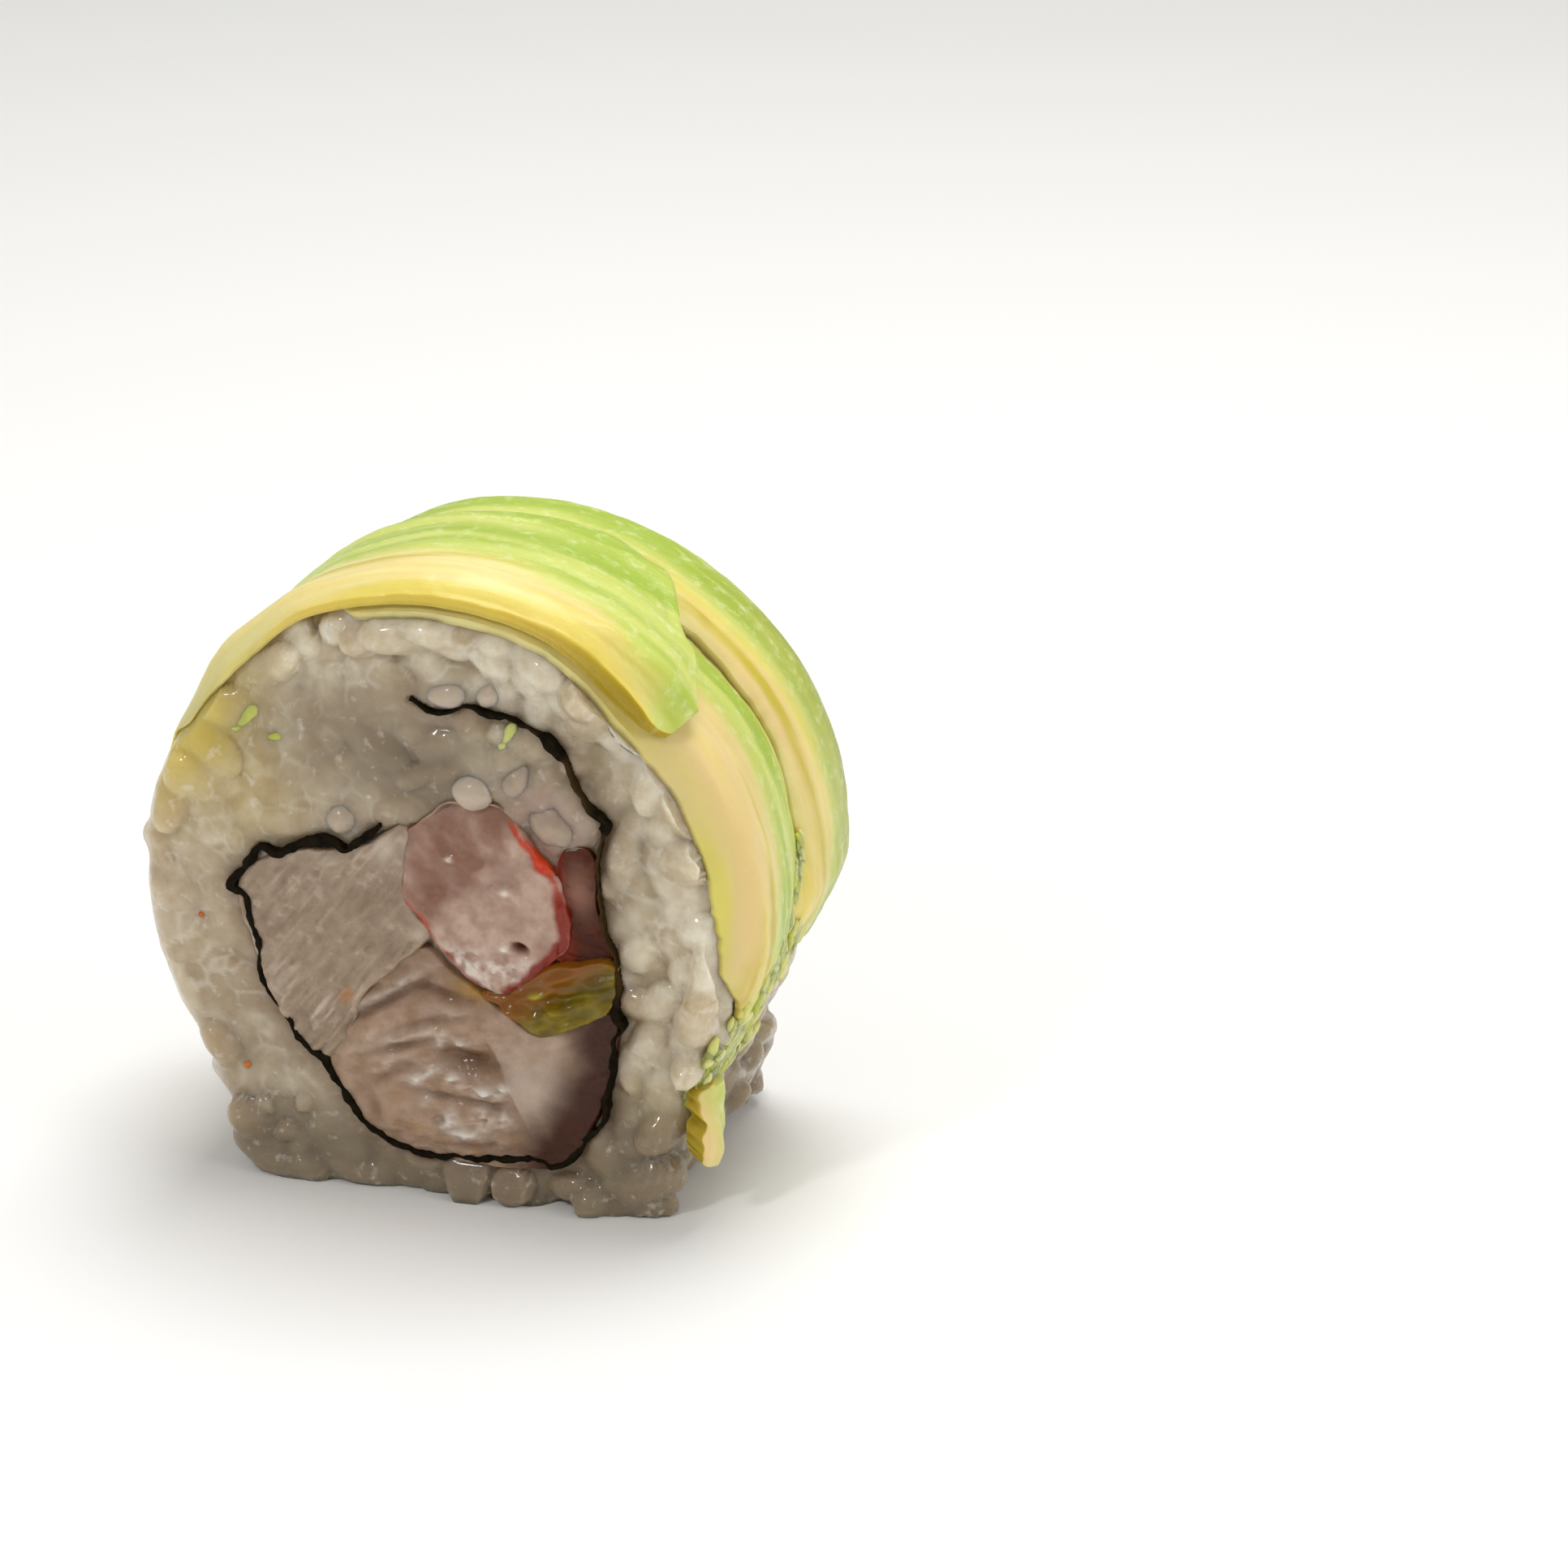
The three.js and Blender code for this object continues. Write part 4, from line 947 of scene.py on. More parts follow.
def profile():
    """The way from the middle of the front face over the rim and the side to the middle of the back. For
    each ring: its share of the face's radius, the share of the rounding by which it stays inside, the
    share of the rounding in its depth, and how far along the side it is, from 0 to 1."""
    turn = np.radians(np.linspace(0, 90, BEND_RINGS + 1)[1:])
    side = np.linspace(0, 1, SIDE_RINGS + 2)[1:-1]
    hidden = np.linspace(0, HIDDEN_SHARE, HIDDEN_RINGS + 1)[1:]
    faces = [np.concatenate([hidden, np.linspace(HIDDEN_SHARE, 1, rings + 1)[1:]])
             for rings in (FRONT_RINGS, BACK_RINGS)]
    flat = [np.zeros(len(face)) for face in faces]
    share = np.concatenate([faces[0], np.ones(2 * len(turn) + len(side)), faces[1][::-1]])
    inset = np.concatenate([flat[0] + 1, 1 - np.sin(turn), 0 * side, 1 - np.sin(turn[::-1]), flat[1] + 1])
    bend = np.concatenate([flat[0], 1 - np.cos(turn), 1 - 2 * side, np.cos(turn[::-1]) - 1, flat[1]])
    run = np.concatenate([flat[0], 0 * turn, side, 0 * turn + 1, flat[1] + 1])
    return share, inset, bend, run


def wedge(angle, depth):
    """Rice that fills the room under the lifted part of the front slice, at the upper left."""
    return along(SLICE_FRONT["lift"], angle) * smooth(angle, 97, 103) * smooth(depth, 12, 9)


def rice_skin():
    """The core's surface: rings of COLUMNS points at the profile's radius and depth, and their normals
    from the cross product of the two directions of the grid."""
    share, inset, bend, run = (values[:, None] for values in profile())
    angle = np.linspace(-180, 180, COLUMNS, endpoint=False)[None]
    rounding = along(RIM_ROUNDING, angle)
    depth = CORE_SET_BACK + rounding * bend + (ROLL_LENGTH - 2 * CORE_SET_BACK) * run
    full = core_radius(angle, depth) + wedge(angle, depth)
    points = on_roll(share * (full - rounding * inset), angle, depth)
    down = np.gradient(points, axis=0)
    around = np.roll(points, -1, 1) - np.roll(points, 1, 1)
    normal = unit(np.cross(down, around))
    outward = points - np.array([AXIS_X, 0, AXIS_HEIGHT])
    flip = np.sign(np.einsum("ijk,ijk->ij", normal, outward))[..., None]
    return points, normal * flip


rice_points, rice_normals = rice_skin()
print("rice skin:", rice_points.shape[0], "rings of", rice_points.shape[1])

# %% [markdown]
# The grains
#
# Grains in pressed rice lie evenly but not in rows. So each new one goes to the emptiest of many random
# places, which is known as best-candidate sampling. A grain of short-grain rice is 6 mm long and 3 mm
# wide when cooked. On the cut faces most lie flat and some show their ends.

# %% Grains
GRAIN = np.array([6.0, 3.2, 2.8]) / 2
FACE_GRAINS = 170
SIDE_GRAINS = 400
TRIES = 60
SEED = 7
GRAIN_ROOM = 0.9
STANDING_SHARE = 0.3
TOP_HEIGHT = 0.42
# Grains that stand out on the front face: x, z, length, width, degrees, height of the top, and tone
PLACED_GRAINS = np.array([
    (-8.9, 38.5, 2.3, 2.0, 30, 0.8, 0.8), (-6.3, 38.9, 2.4, 2.2, 0, 0.9, 1.0),
    (-3.4, 39.1, 2.6, 2.2, 0, 0.8, 0.8), (-1.0, 39.1, 2.3, 2.3, 0, 0.85, 0.8),
    (1.5, 38.7, 3.4, 2.0, -25, 0.75, 1.0), (4.2, 37.8, 3.6, 2.2, -40, 0.8, 1.0),
    (6.8, 36.7, 3.0, 2.2, -40, 0.75, 0.9), (9.3, 35.6, 4.4, 2.4, -48, 0.8, 0.9),
    (12.2, 33.9, 4.6, 2.6, -48, 0.75, 0.8), (15.0, 31.4, 3.6, 2.8, -60, 0.75, 0.7),
    (15.8, 28.0, 4.0, 2.8, 80, 0.8, 0.75), (13.0, 25.4, 5.0, 2.4, 84, 0.8, 0.5),
    (16.2, 24.0, 4.0, 2.8, -60, 0.8, 0.65), (18.1, 20.9, 3.2, 2.6, 30, 1.0, 1.0),
    (14.0, 19.0, 3.6, 2.8, 60, 0.85, 0.7), (17.4, 18.0, 3.4, 2.8, 40, 0.85, 0.75),
    (15.6, 15.6, 3.6, 2.8, 40, 0.8, 0.75), (17.2, 13.2, 4.0, 2.6, 80, 0.75, 0.7),
    (14.5, 12.4, 4.4, 2.6, 70, 0.7, 0.6), (-9.8, 25.4, 6.0, 2.6, 8, 0.75, 0.45),
    (5.0, 31.0, 3.0, 2.6, 0, 0.6, 0.4), (9.2, 1.6, 3.4, 2.0, 0, 0.7, 0.5),
    (12.6, 2.4, 3.0, 2.0, 30, 0.7, 0.6), (-12.4, 4.8, 1.6, 1.3, 0, 0.7, 1.0),
    (-10.8, 3.2, 1.9, 1.4, 30, 0.7, 1.0), (-9.4, 5.4, 1.5, 1.2, 60, 0.65, 0.9),
    (-18.0, 20.5, 2.4, 1.8, 80, 0.6, 0.8), (-3.6, 31.0, 5.0, 2.6, -30, 0.65, 0.5),
    (0.5, 31.5, 3.6, 2.6, 30, 0.65, 0.5), (-1.0, 29.4, 3.0, 1.6, 35, 0.6, 0.7),
])


def mush(points):
    """0 where the grains are whole and 1 where the knife smeared them: the left of the front face, less at
    the foot and from 4 mm behind the cut on, and not at the top row."""
    x, z = points[..., 0] - AXIS_X, points[..., 2]
    radius, _ = round_axis(x, z)
    top_row = smooth(radius, 14.5, 17) * smooth(z - 0.5 * x, 36, 39) * smooth(x, -11.5, -8.5)
    near_cut = 0.3 + 0.7 * smooth(points[..., 1], -3.5, -7.5)
    return smooth(x, 5, -6) * (0.65 + 0.35 * smooth(z, 3, 9)) * (1 - top_row) * near_cut


def spread(count, places, draw, rng):
    """Places spread evenly: each new one is the emptiest of TRIES that draw gives."""
    places = draw(rng, 1) if places is None else places
    for _ in range(count - 1):
        new = draw(rng, TRIES)
        room = np.linalg.norm(new[:, None] - places[None], axis=-1).min(1)
        places = np.concatenate([places, new[np.argmax(room)][None]])
    return places


def filling_clearance(x, z, depth):
    """How far a point is outside the filling and the nori, in the face: below 0 inside the filling."""
    x, z = turn_with_depth(x - AXIS_X, z, depth, -1)
    clear = distance_to(x, z, nori_path, False) - NORI_BODY / 2
    for section in FILLINGS:
        away = distance_to(x, z, section["path"], True)
        clear = np.minimum(clear, np.where(inside(x, z, section["path"]), -away, away))
    return clear


def face_draw(depth):
    """A draw of places on the rice of a cut face, clear of the filling and inside the rim."""
    def draw(rng, count):
        """That many places, from random ones in the whole disc."""
        found = np.zeros((0, 3))
        while len(found) < count:
            angle = rng.uniform(0, 360, 4 * count + 40)
            signed = (angle + 180) % 360 - 180
            widest = core_radius(angle, depth) + wedge(signed, depth) - GRAIN_ROOM
            new = on_roll(np.sqrt(rng.uniform(0, 1, len(angle))) * widest, angle, depth)
            found = np.concatenate([found, new[filling_clearance(new[:, 0], new[:, 2], depth) > GRAIN_ROOM]])
        return found[:count]
    return draw


def side_draw(rng, count):
    """A draw of places all round the side."""
    angle = rng.uniform(0, 360, count)
    depth = rng.uniform(CORE_SET_BACK, ROLL_LENGTH - CORE_SET_BACK, count)
    return on_roll(core_radius(angle, depth), angle, depth)


def sunk_grains(places, outward, long, halves, top):
    """Grains whose tops are at a height over their places: the centre lies under the top by the grain's
    reach along the outward direction, and a matrix turns the grain into a unit ball."""
    across = unit(np.cross(long, outward))
    axes = np.stack([long, across, np.cross(long, across)], 1)
    reach = np.linalg.norm((axes @ outward[:, :, None])[..., 0] * halves, axis=1)
    return places + outward * (top - reach)[:, None], axes / halves[:, :, None]


def random_grains(places, outward, rng):
    """Grains at places, most of them flat and some standing up. Their tops are level where the rice is
    mushy, because the paste fills the gaps, and uneven where it isn't."""
    tangent = unit(np.cross(outward, rng.normal(size=places.shape)))
    tilt = np.where(rng.uniform(size=len(places)) < STANDING_SHARE, rng.uniform(35, 80, len(places)),
                    rng.uniform(-14, 14, len(places)))
    tilt = np.radians(tilt)[:, None]
    long = unit(tangent * np.cos(tilt) + outward * np.sin(tilt))
    uneven = 0.22 - 0.16 * mush(places)
    top = TOP_HEIGHT + uneven * rng.uniform(-1, 1, len(places))
    return sunk_grains(places, outward, long, GRAIN * rng.uniform(0.82, 1.1, (len(places), 3)), top)


def placed_grains():
    """The grains that stand out, on the front face's plane."""
    x, z, length, width, degrees, top, tone = PLACED_GRAINS.T
    turn = np.radians(degrees)
    places = as_points(x + AXIS_X, FRONT + CORE_SET_BACK, z)
    long = as_points(np.cos(turn), 0.0, np.sin(turn))
    outward = np.tile([0.0, -1.0, 0.0], (len(x), 1))
    halves = as_points(length, width, 0.95 * width) / 2
    return places, sunk_grains(places, outward, long, halves, top), tone


def all_grains():
    """The placed grains, then grains on the front face, the back face and the side, with random tones."""
    rng = np.random.default_rng(SEED)
    places, group, tone = placed_grains()
    groups = [group]
    for depth, facing, taken in ((CORE_SET_BACK, -1.0, places), (ROLL_LENGTH - CORE_SET_BACK, 1.0, None)):
        new = spread(FACE_GRAINS, taken, face_draw(depth), rng)
        new = new[0 if taken is None else len(taken):]
        outward = np.tile([0.0, facing, 0.0], (len(new), 1))
        groups.append(random_grains(new, outward, rng))
    new = spread(SIDE_GRAINS, None, side_draw, rng)
    outward = unit((new - np.array([AXIS_X, 0, AXIS_HEIGHT])) * np.array([1, 0, 1]))
    groups.append(random_grains(new, outward, rng))
    centres = np.concatenate([group[0] for group in groups])
    rest = rng.uniform(0, 1, len(centres) - len(tone))
    return centres, np.concatenate([group[1] for group in groups]), np.concatenate([tone, rest])


centres, shapes, tones = all_grains()
print(len(centres), "grains")

# %% [markdown]
# The relief
#
# How soft the maximum is depends on the place: the left of the front face was smeared by the knife,
# while the right and the underside kept their grains. Near the filling and the nori the skin sinks, and
# inside them it dives out of sight.

# %% Rice relief
VALLEY = -0.15
REACH = 3.6
BORDER_WIDTH = 0.1
# The soft maximum's k between whole grains, and what the mush adds to it
WHOLE_SOFTNESS = 0.13
MUSH_SOFTNESS = 0.17
SMEARED_HEIGHT = 0.4
DIVE = -1.6
# Where the front face is oily, damp and darkened by painted shade, and pink, in the order that mounds() takes
OILY = [(-13.5, 29.0, 3.5, 6.0, 20, 0.4)]
WET_AND_SHADED = [(-1, 30.5, 9.0, 4.2, -12, 1), (11.5, 25, 3.0, 7.0, 10, 0.5)]
PINK = [(8.0, 26.8, 3.0, 2.4, -35, 1)]


def softness(points):
    """The k of the soft maximum, in millimetres: small between whole grains, and larger in the mush."""
    return WHOLE_SOFTNESS + MUSH_SOFTNESS * mush(points) + 0.03 * cloud(points, 5.0, 61)


def push_out(points, normals):
    """Height of the grains over the skin: for a ball-shaped space q = M (p - c) the line q + t M n leaves
    the ball at t = (-b + sqrt(b^2 - a c)) / a, and the height is the soft maximum of all t. With sharper
    weights e^(t/k) it also gives the grains' tone, and how near a border between grains is."""
    k = softness(points)
    height = np.full(len(points), VALLEY)
    total = np.full(len(points), np.exp(VALLEY / BORDER_WIDTH))
    most = total.copy()
    tone = 0.4 * total
    for centre, shape, grain_tone in zip(centres, shapes, tones):
        near = np.flatnonzero(np.abs(points - centre).max(1) < REACH)
        start = (points[near] - centre) @ shape.T
        step = normals[near] @ shape.T
        a = np.einsum("ij,ij->i", step, step)
        b = np.einsum("ij,ij->i", start, step)
        c = np.einsum("ij,ij->i", start, start) - 1
        hit = b * b - a * c > 0
        near, a, b, c = near[hit], a[hit], b[hit], c[hit]
        out = (-b + np.sqrt(b * b - a * c)) / a
        height[near] = k[near] * np.logaddexp(height[near] / k[near], out / k[near])
        weight = np.exp(out / BORDER_WIDTH)
        total[near] += weight
        most[near] = np.maximum(most[near], weight)
        tone[near] += weight * grain_tone
    return height, tone / total, smooth(1 - most / total, 0.12, 0.5)


def rice_attributes(points, height, clear, on_face, border):
    """What colours the rice: smeared and clear on the left, painted shade in the gaps between grains, paste
    and a painted highlight along their borders, the filling's stain and painted shade beside it, damp rice
    and painted shade inside the nori, painted shade at the foot and lower down, avocado oil, and pink by
    the shrimp."""
    x, z = points[:, 0] - AXIS_X, points[:, 2]
    radius, angle = round_axis(x, z)
    uneven = 0.3 * clouds(points, 3.0, 65)
    rim = smooth(radius, 15.5, 19.5)
    oil = 0.9 * rim * (np.exp(-(((angle - 146) / 18) ** 2)) + 0.4 * np.exp(-(((angle + 40) / 6) ** 2)))
    # Painted shade at the foot, more to the right, and a painted gradient of shade lower down the face
    foot = smooth(z - 3.0 * smooth(x, 8, 13), 8.0, 1.5) * (0.9 + uneven) + 0.25 * smooth(z, 19, 8)
    smear = 0.2 + 0.45 * on_face * (1 - 0.4 * smooth(x, -14, -18))
    return {
        "smear": mush(points) * smear * (0.8 + 0.5 * clouds(points, 2.2, 67)),
        # Painted shade in the gaps between grains, mostly where they are whole
        "crease_shade": smooth(height, 0.4, -0.2) * (1 - 0.8 * mush(points)),
        # Starch paste and a painted highlight along the grains' borders
        "paste": border * (0.6 - 0.15 * mush(points)) * smooth(clouds(points, 1.2, 66), -0.3, 0.3),
        # Damp rice and painted shade inside the nori's spiral and right of the shrimp, with the painted shade
        # at the foot
        "wet_and_shade": on_face * mounds(x, z, WET_AND_SHADED) * (1 + uneven) + foot,
        # The filling's stain and painted shade within 1.8 mm of the filling and the nori
        "juice_and_shade": smooth(clear, 1.8, 0.0) * on_face,
        "oil": (oil + mounds(x, z, OILY)) * (0.9 + uneven),
        "pink": on_face * mounds(x, z, PINK),
    }


def pressed_in(points):
    """Points moved towards the axis where a slice lies on them, to just below its seat."""
    x, depth, z = (points - [AXIS_X, FRONT, 0]).T
    radius, angle = round_axis(x, z)
    covered = np.zeros(len(points))
    for shape in (SLICE_SIDE, SLICE_FRONT, SLICE_BACK):
        wide = smooth(depth - along(shape["front"], angle), -1.4, -0.6) * smooth(
            along(shape["back"], angle) - depth, -0.8, 0.2)
        long = smooth(angle, shape["end"] - 1, shape["end"] + 3) * smooth(
            angle, shape["start"] + 1, shape["start"] - 3)
        covered = np.maximum(covered, wide * long)
    seat = core_radius(angle, depth) + wedge(angle, depth) + 0.42 - drape(angle, depth)
    kept = 1 - covered * (1 - np.minimum(seat / radius, 1))
    return as_points(AXIS_X + x * kept, points[:, 1], AXIS_HEIGHT + (z - AXIS_HEIGHT) * kept)


def rice_piece():
    """The whole rice: pushed out, levelled where the knife smeared it, held down at the filling, pressed
    under slices, and flat where it rests. Returns the piece and the points of its front face."""
    points, normals = rice_points.reshape(-1, 3), rice_normals.reshape(-1, 3)
    height, tone, border = push_out(points, normals)
    facing = np.abs(normals[:, 1])
    on_rim = smooth(facing, 0.1, 0.4) * smooth(facing, 0.97, 0.7)
    height += (0.5 + 0.4 * on_rim) * mush(points) * (SMEARED_HEIGHT - height) + 0.09 * clouds(points, 1.3, 62)
    on_face = smooth(facing, 0.5, 0.9)
    depth = np.where(points[:, 1] < 0, CORE_SET_BACK, ROLL_LENGTH - CORE_SET_BACK)
    clear = np.where(on_face > 0, filling_clearance(points[:, 0], points[:, 2], depth), 9.0)
    held = 0.35 + np.where(clear > 0, 0.6, 3.0) * clear
    height = np.where(on_face > 0, np.minimum(height, np.maximum(held, DIVE)), height)
    moved = pressed_in(points + normals * height[:, None])
    moved[:, 2] = np.maximum(moved[:, 2], 0)
    values = rice_attributes(points, height, clear, on_face, border)
    values["grain"] = tone
    shape = rice_points.shape
    values = {key: np.clip(value, 0, 1).reshape(shape[:2]) for key, value in values.items()}
    return ring_piece("rice_grains", moved.reshape(shape), values), moved[normals[:, 1] < -0.9]


rice, rice_face = rice_piece()

# %% [markdown]
# What the rice looks like
#
# Boiled rice is white only where it is dry. Here it is wet and clear, and takes on what lies in and
# around it: juice from the filling and oil from the avocado. So one material has two colours for the
# grains, mixed by each grain's own tone, thin stains over them, and painted shade and highlights: shade in
# the gaps between grains, inside the nori, beside the filling and at the foot, highlights along the grains'
# borders and in small specks.

# %% Rice material
def rice_material():
    """Boiled short-grain rice with vinegar: milky, glossy and clear, so light goes 3 mm in and hardly any
    shade stays between the grains. 'grain' is each grain's own tone; the other layers are stains, painted
    shade and painted highlights."""
    material, tree, shader = wet_shader("sushi_rice", 0.28, 1.0, 3.0, 0.5, 0.4, RICE_REACH)
    place = add_node(tree, "ShaderNodeTexCoord").outputs["Object"]
    grain = add_node(tree, "ShaderNodeAttribute", attribute_name="grain").outputs["Fac"]
    juice_and_shade = add_node(tree, "ShaderNodeAttribute", attribute_name="juice_and_shade").outputs["Fac"]
    # Milky patches inside the grains are about 1 mm across, crumbs of starch with painted glints 0.9 mm, the
    # relief 0.35 mm
    milky = patches(tree, place, 1.0, 4, 0.5)
    both = add_node(tree, "ShaderNodeMath", {0: grain, 1: milky}, operation="ADD")
    tone = add_node(tree, "ShaderNodeMapRange", {0: both.outputs[0], 1: 0.3, 2: 1.7})
    noise = add_node(tree, "ShaderNodeTexNoise", {"Vector": place, "Scale": 1 / (0.9 * MM), "Detail": 3})
    starch_and_glints = add_node(tree, "ShaderNodeMapRange", {0: noise.outputs["Fac"], 1: 0.6, 2: 0.74, 4: 0.4})
    # Beside the filling: its stain and painted shade
    soaked_and_shaded = add_node(tree, "ShaderNodeMath", {0: juice_and_shade, 1: 0.4}, operation="MULTIPLY")
    # Painted shade lies in the gaps between grains, inside the nori, at the foot and by the filling; painted
    # highlights along the grains' borders and in the starch specks
    colour = laid_over(tree, "#BAA684", [
        (tone.outputs[0], "#E6DCC6"), ("smear", "#A08666"), ("crease_shade", "#B09C78"), ("paste", "#E9E1D0"),
        ("oil", "#D0BA5C"), ("wet_and_shade", "#8C7C64"), ("pink", "#A8867A"), (starch_and_glints.outputs[0], "#EEE8DC"),
        (soaked_and_shaded.outputs[0], "#8C6E54"),
    ])
    fine = patches(tree, place, 0.35, 5, 1.0)
    relief = add_node(tree, "ShaderNodeMath", {0: fine, 1: starch_and_glints.outputs[0]}, operation="ADD")
    finish(tree, shader, colour, relief.outputs[0], 0.12)
    return material


shown(rice, rice_material(), "rice", "rice")

# %% [markdown]
# Loose grains
#
# A few grains lie on top of the paste, clear and rounded: three over the nori, and the others round the
# top of the shrimp. They could be copies of one object, but the library keeps meshes only. They are one
# mesh, made from one ball that is stretched, turned and moved with arrays.

# %% Loose grains
# x, z, length, width, degrees, share of the width that stands out of the rice, and tone
LOOSE_GRAINS = np.array([
    (2.8, 28.7, 2.8, 2.5, 0, 0.34, 0.35), (8.3, 26.8, 5.0, 3.2, -35, 0.16, 0.05),
    (1.2, 35.2, 3.2, 1.9, 4, 0.2, 0.3), (-6.1, 25.9, 2.4, 2.2, 0, 0.2, 0.2),
    (4.1, 35.5, 1.9, 1.6, 40, 0.2, 0.3), (10.3, 23.2, 2.8, 1.6, 80, 0.2, 0.0),
    (5.7, 29.6, 2.8, 2.2, 60, 0.12, 0.1),
])


def on_surface(x, z):
    """Places on the rice of the front face: the nearest of its points gives the depth."""
    nearest = [np.argmin(np.hypot(rice_face[:, 0] - AXIS_X - a, rice_face[:, 2] - b)) for a, b in zip(x, z)]
    return as_points(x + AXIS_X, rice_face[nearest, 1], z)


def ball(rings, columns):
    """A unit ball: rings of points between its poles, the poles, and the faces."""
    polar = np.linspace(0, np.pi, rings + 2)[1:-1, None]
    turn = np.linspace(0, 2 * np.pi, columns, endpoint=False)[None]
    grid = as_points(np.sin(polar) * np.cos(turn), np.sin(polar) * np.sin(turn), np.cos(polar))
    points = np.concatenate([grid.reshape(-1, 3), [[0, 0, 1], [0, 0, -1]]])
    return points, *ring_faces(rings, columns)


def scattered(name, form, centres, axes, tones, rough, seed):
    """One mesh of many lumps: each is the ball, its radius changed by noise, with its three half axes as
    the rows of a matrix. The piece has the attributes 'tone' and 'edge', which is 1 round the outline."""
    points, quads, triangles = form
    count, each = len(centres), len(points)
    swell = 1 + rough * clouds(points[None] + 7.3 * np.arange(count)[:, None, None], 0.9, seed, 2)
    placed = centres[:, None] + (points * swell[..., None]) @ axes
    shift = (np.arange(count) * each)[:, None, None]
    edge = np.tile(smooth(1 - points[:, 2] ** 2, 0.6, 1), count)
    return add_mesh(name, placed.reshape(-1, 3), (quads + shift).reshape(-1, 4),
                    (triangles + shift).reshape(-1, 3), {"tone": np.repeat(tones, each), "edge": edge})


def on_face_axes(length, width, thickness, degrees):
    """Half axes of lumps that lie in the face: length along a direction, width across, thickness out."""
    turn = np.radians(degrees)
    long = as_points(np.cos(turn), 0.0, np.sin(turn)) * length[:, None] / 2
    wide = as_points(-np.sin(turn), 0.0, np.cos(turn)) * width[:, None] / 2
    thick = np.array([0.0, -1.0, 0.0]) * thickness[:, None] / 2
    return np.stack([long, wide, thick], 1)


def loose_grains():
    """The loose grains at their places."""
    x, z, length, width, degrees, out, tone = LOOSE_GRAINS.T
    level = on_surface(x, z)
    level[:, 1] = np.minimum(level[:, 1], FRONT + 0.7)
    centres = level + as_points(0.0, width * (0.5 - out), 0.0)
    axes = on_face_axes(length, width, width, degrees)
    return scattered("rice_loose", ball(20, 30), centres, axes, tone, 0.12, 66)


clear_rice = moist(
    # A whole boiled grain: clear, so it shows the darker rice behind it, with a painted highlight round its
    # edge
    "clear_rice_grain", "#A28E7A", "#B09C88", 1.2, 0.5, 0.08, {"tone": "#E2DACA", "edge": "#CFC2AE"},
    roughness=0.25, inside=0.9, depth_mm=1.5, coat=0.4)
shown(loose_grains(), clear_rice, "rice")

# %% [markdown]
# Avocado slices
#
# The avocado was halved, peeled and cut lengthways into slices 1 to 2 mm thick, which were fanned over
# the roll and pressed down. Each slice is cream near the stone and green near the skin, with fine
# streaks along its length. A slice is drawn by its section: a seat that follows the rice, a blunt front
# edge and a crowned back, carried round the roll from its start angle to its end angle, where it
# narrows to a rounded end. Bending a flat sheet would do too, but would not sit on rice this uneven.

# %% Slices
OUTER_POINTS = 57
UNDER_POINTS = 19


def slice_form(shape, angle, over):
    """Depth, seat and thickness of a slice, as in the solids: thickness = blunt + (crown - blunt)
    (1 - over^4), where over runs from -1 at the front edge to 1 at the back one."""
    from_start = np.clip((shape["start"] - angle + END_CUT) / shape["round_start"], 0, 1)
    from_end = np.clip((angle - shape["end"] + END_CUT) / shape["round_end"], 0, 1)
    end_share = np.sqrt(1 - (1 - np.minimum(from_start, from_end)) ** 2)
    front, back = along(shape["front"], angle), along(shape["back"], angle)
    depth = (front + back) / 2 + over * (back - front) / 2 * end_share
    blunt = np.where(over < 0, 1, BACK_EDGE_SHARE) * along(shape["edge"], angle)
    thickness = blunt + (along(shape["crown"], angle) - blunt) * (1 - over**4)
    lift = along(shape["lift"], angle) + along(shape["tuck"], angle) * smooth(over, 0.5, 0.9)
    return depth, SLICE_SEAT + lift, thickness * (END_THINNING + (1 - END_THINNING) * end_share)


def slice_piece(name, shape, steps, torn_front, torn_back):
    """Rings along a slice: over the crowned side, a rounded way down each edge, and home under it. The
    edges are torn by noise, and the crowned side has soft waves."""
    angle = np.linspace(shape["start"], shape["end"], steps)[:, None]
    over = np.sin(np.linspace(-np.pi / 2, np.pi / 2, OUTER_POINTS))
    under = np.sin(np.linspace(np.pi / 2, -np.pi / 2, UNDER_POINTS + 2))[1:-1]
    over = np.concatenate([over, under])[None]
    is_outer = (np.arange(over.shape[1]) < OUTER_POINTS)[None]
    depth, lift, thickness = slice_form(shape, angle, over)
    arc = np.radians(angle) * CORE_RADIUS
    seed = shape["seed"]
    low_end = 1 + 2 * smooth(angle, 12, -12) + 5 * smooth(angle, -26, -30)
    tear = np.where(over < 0, torn_front, torn_back) * low_end * np.abs(over) ** 8
    depth = depth + tear * clouds(as_points(arc, 7 * np.sign(over), 0.0), (1.3, 1, 1), seed)
    flesh = as_points(arc, depth, 0.0)
    waves = 0.14 * clouds(flesh, (8, 2.4, 1), seed + 10) + 0.04 * low_end * clouds(flesh, 1.0, seed + 30, 2)
    outer = np.where(is_outer, thickness + waves * smooth(thickness, 0, 0.8), 0)
    rings = on_roll(core_radius(angle, depth) + lift + outer - drape(angle, depth), angle, depth)
    return ring_piece(name, rings, slice_attributes(shape, angle, over, depth, flesh), flesh[..., :2] / 10)


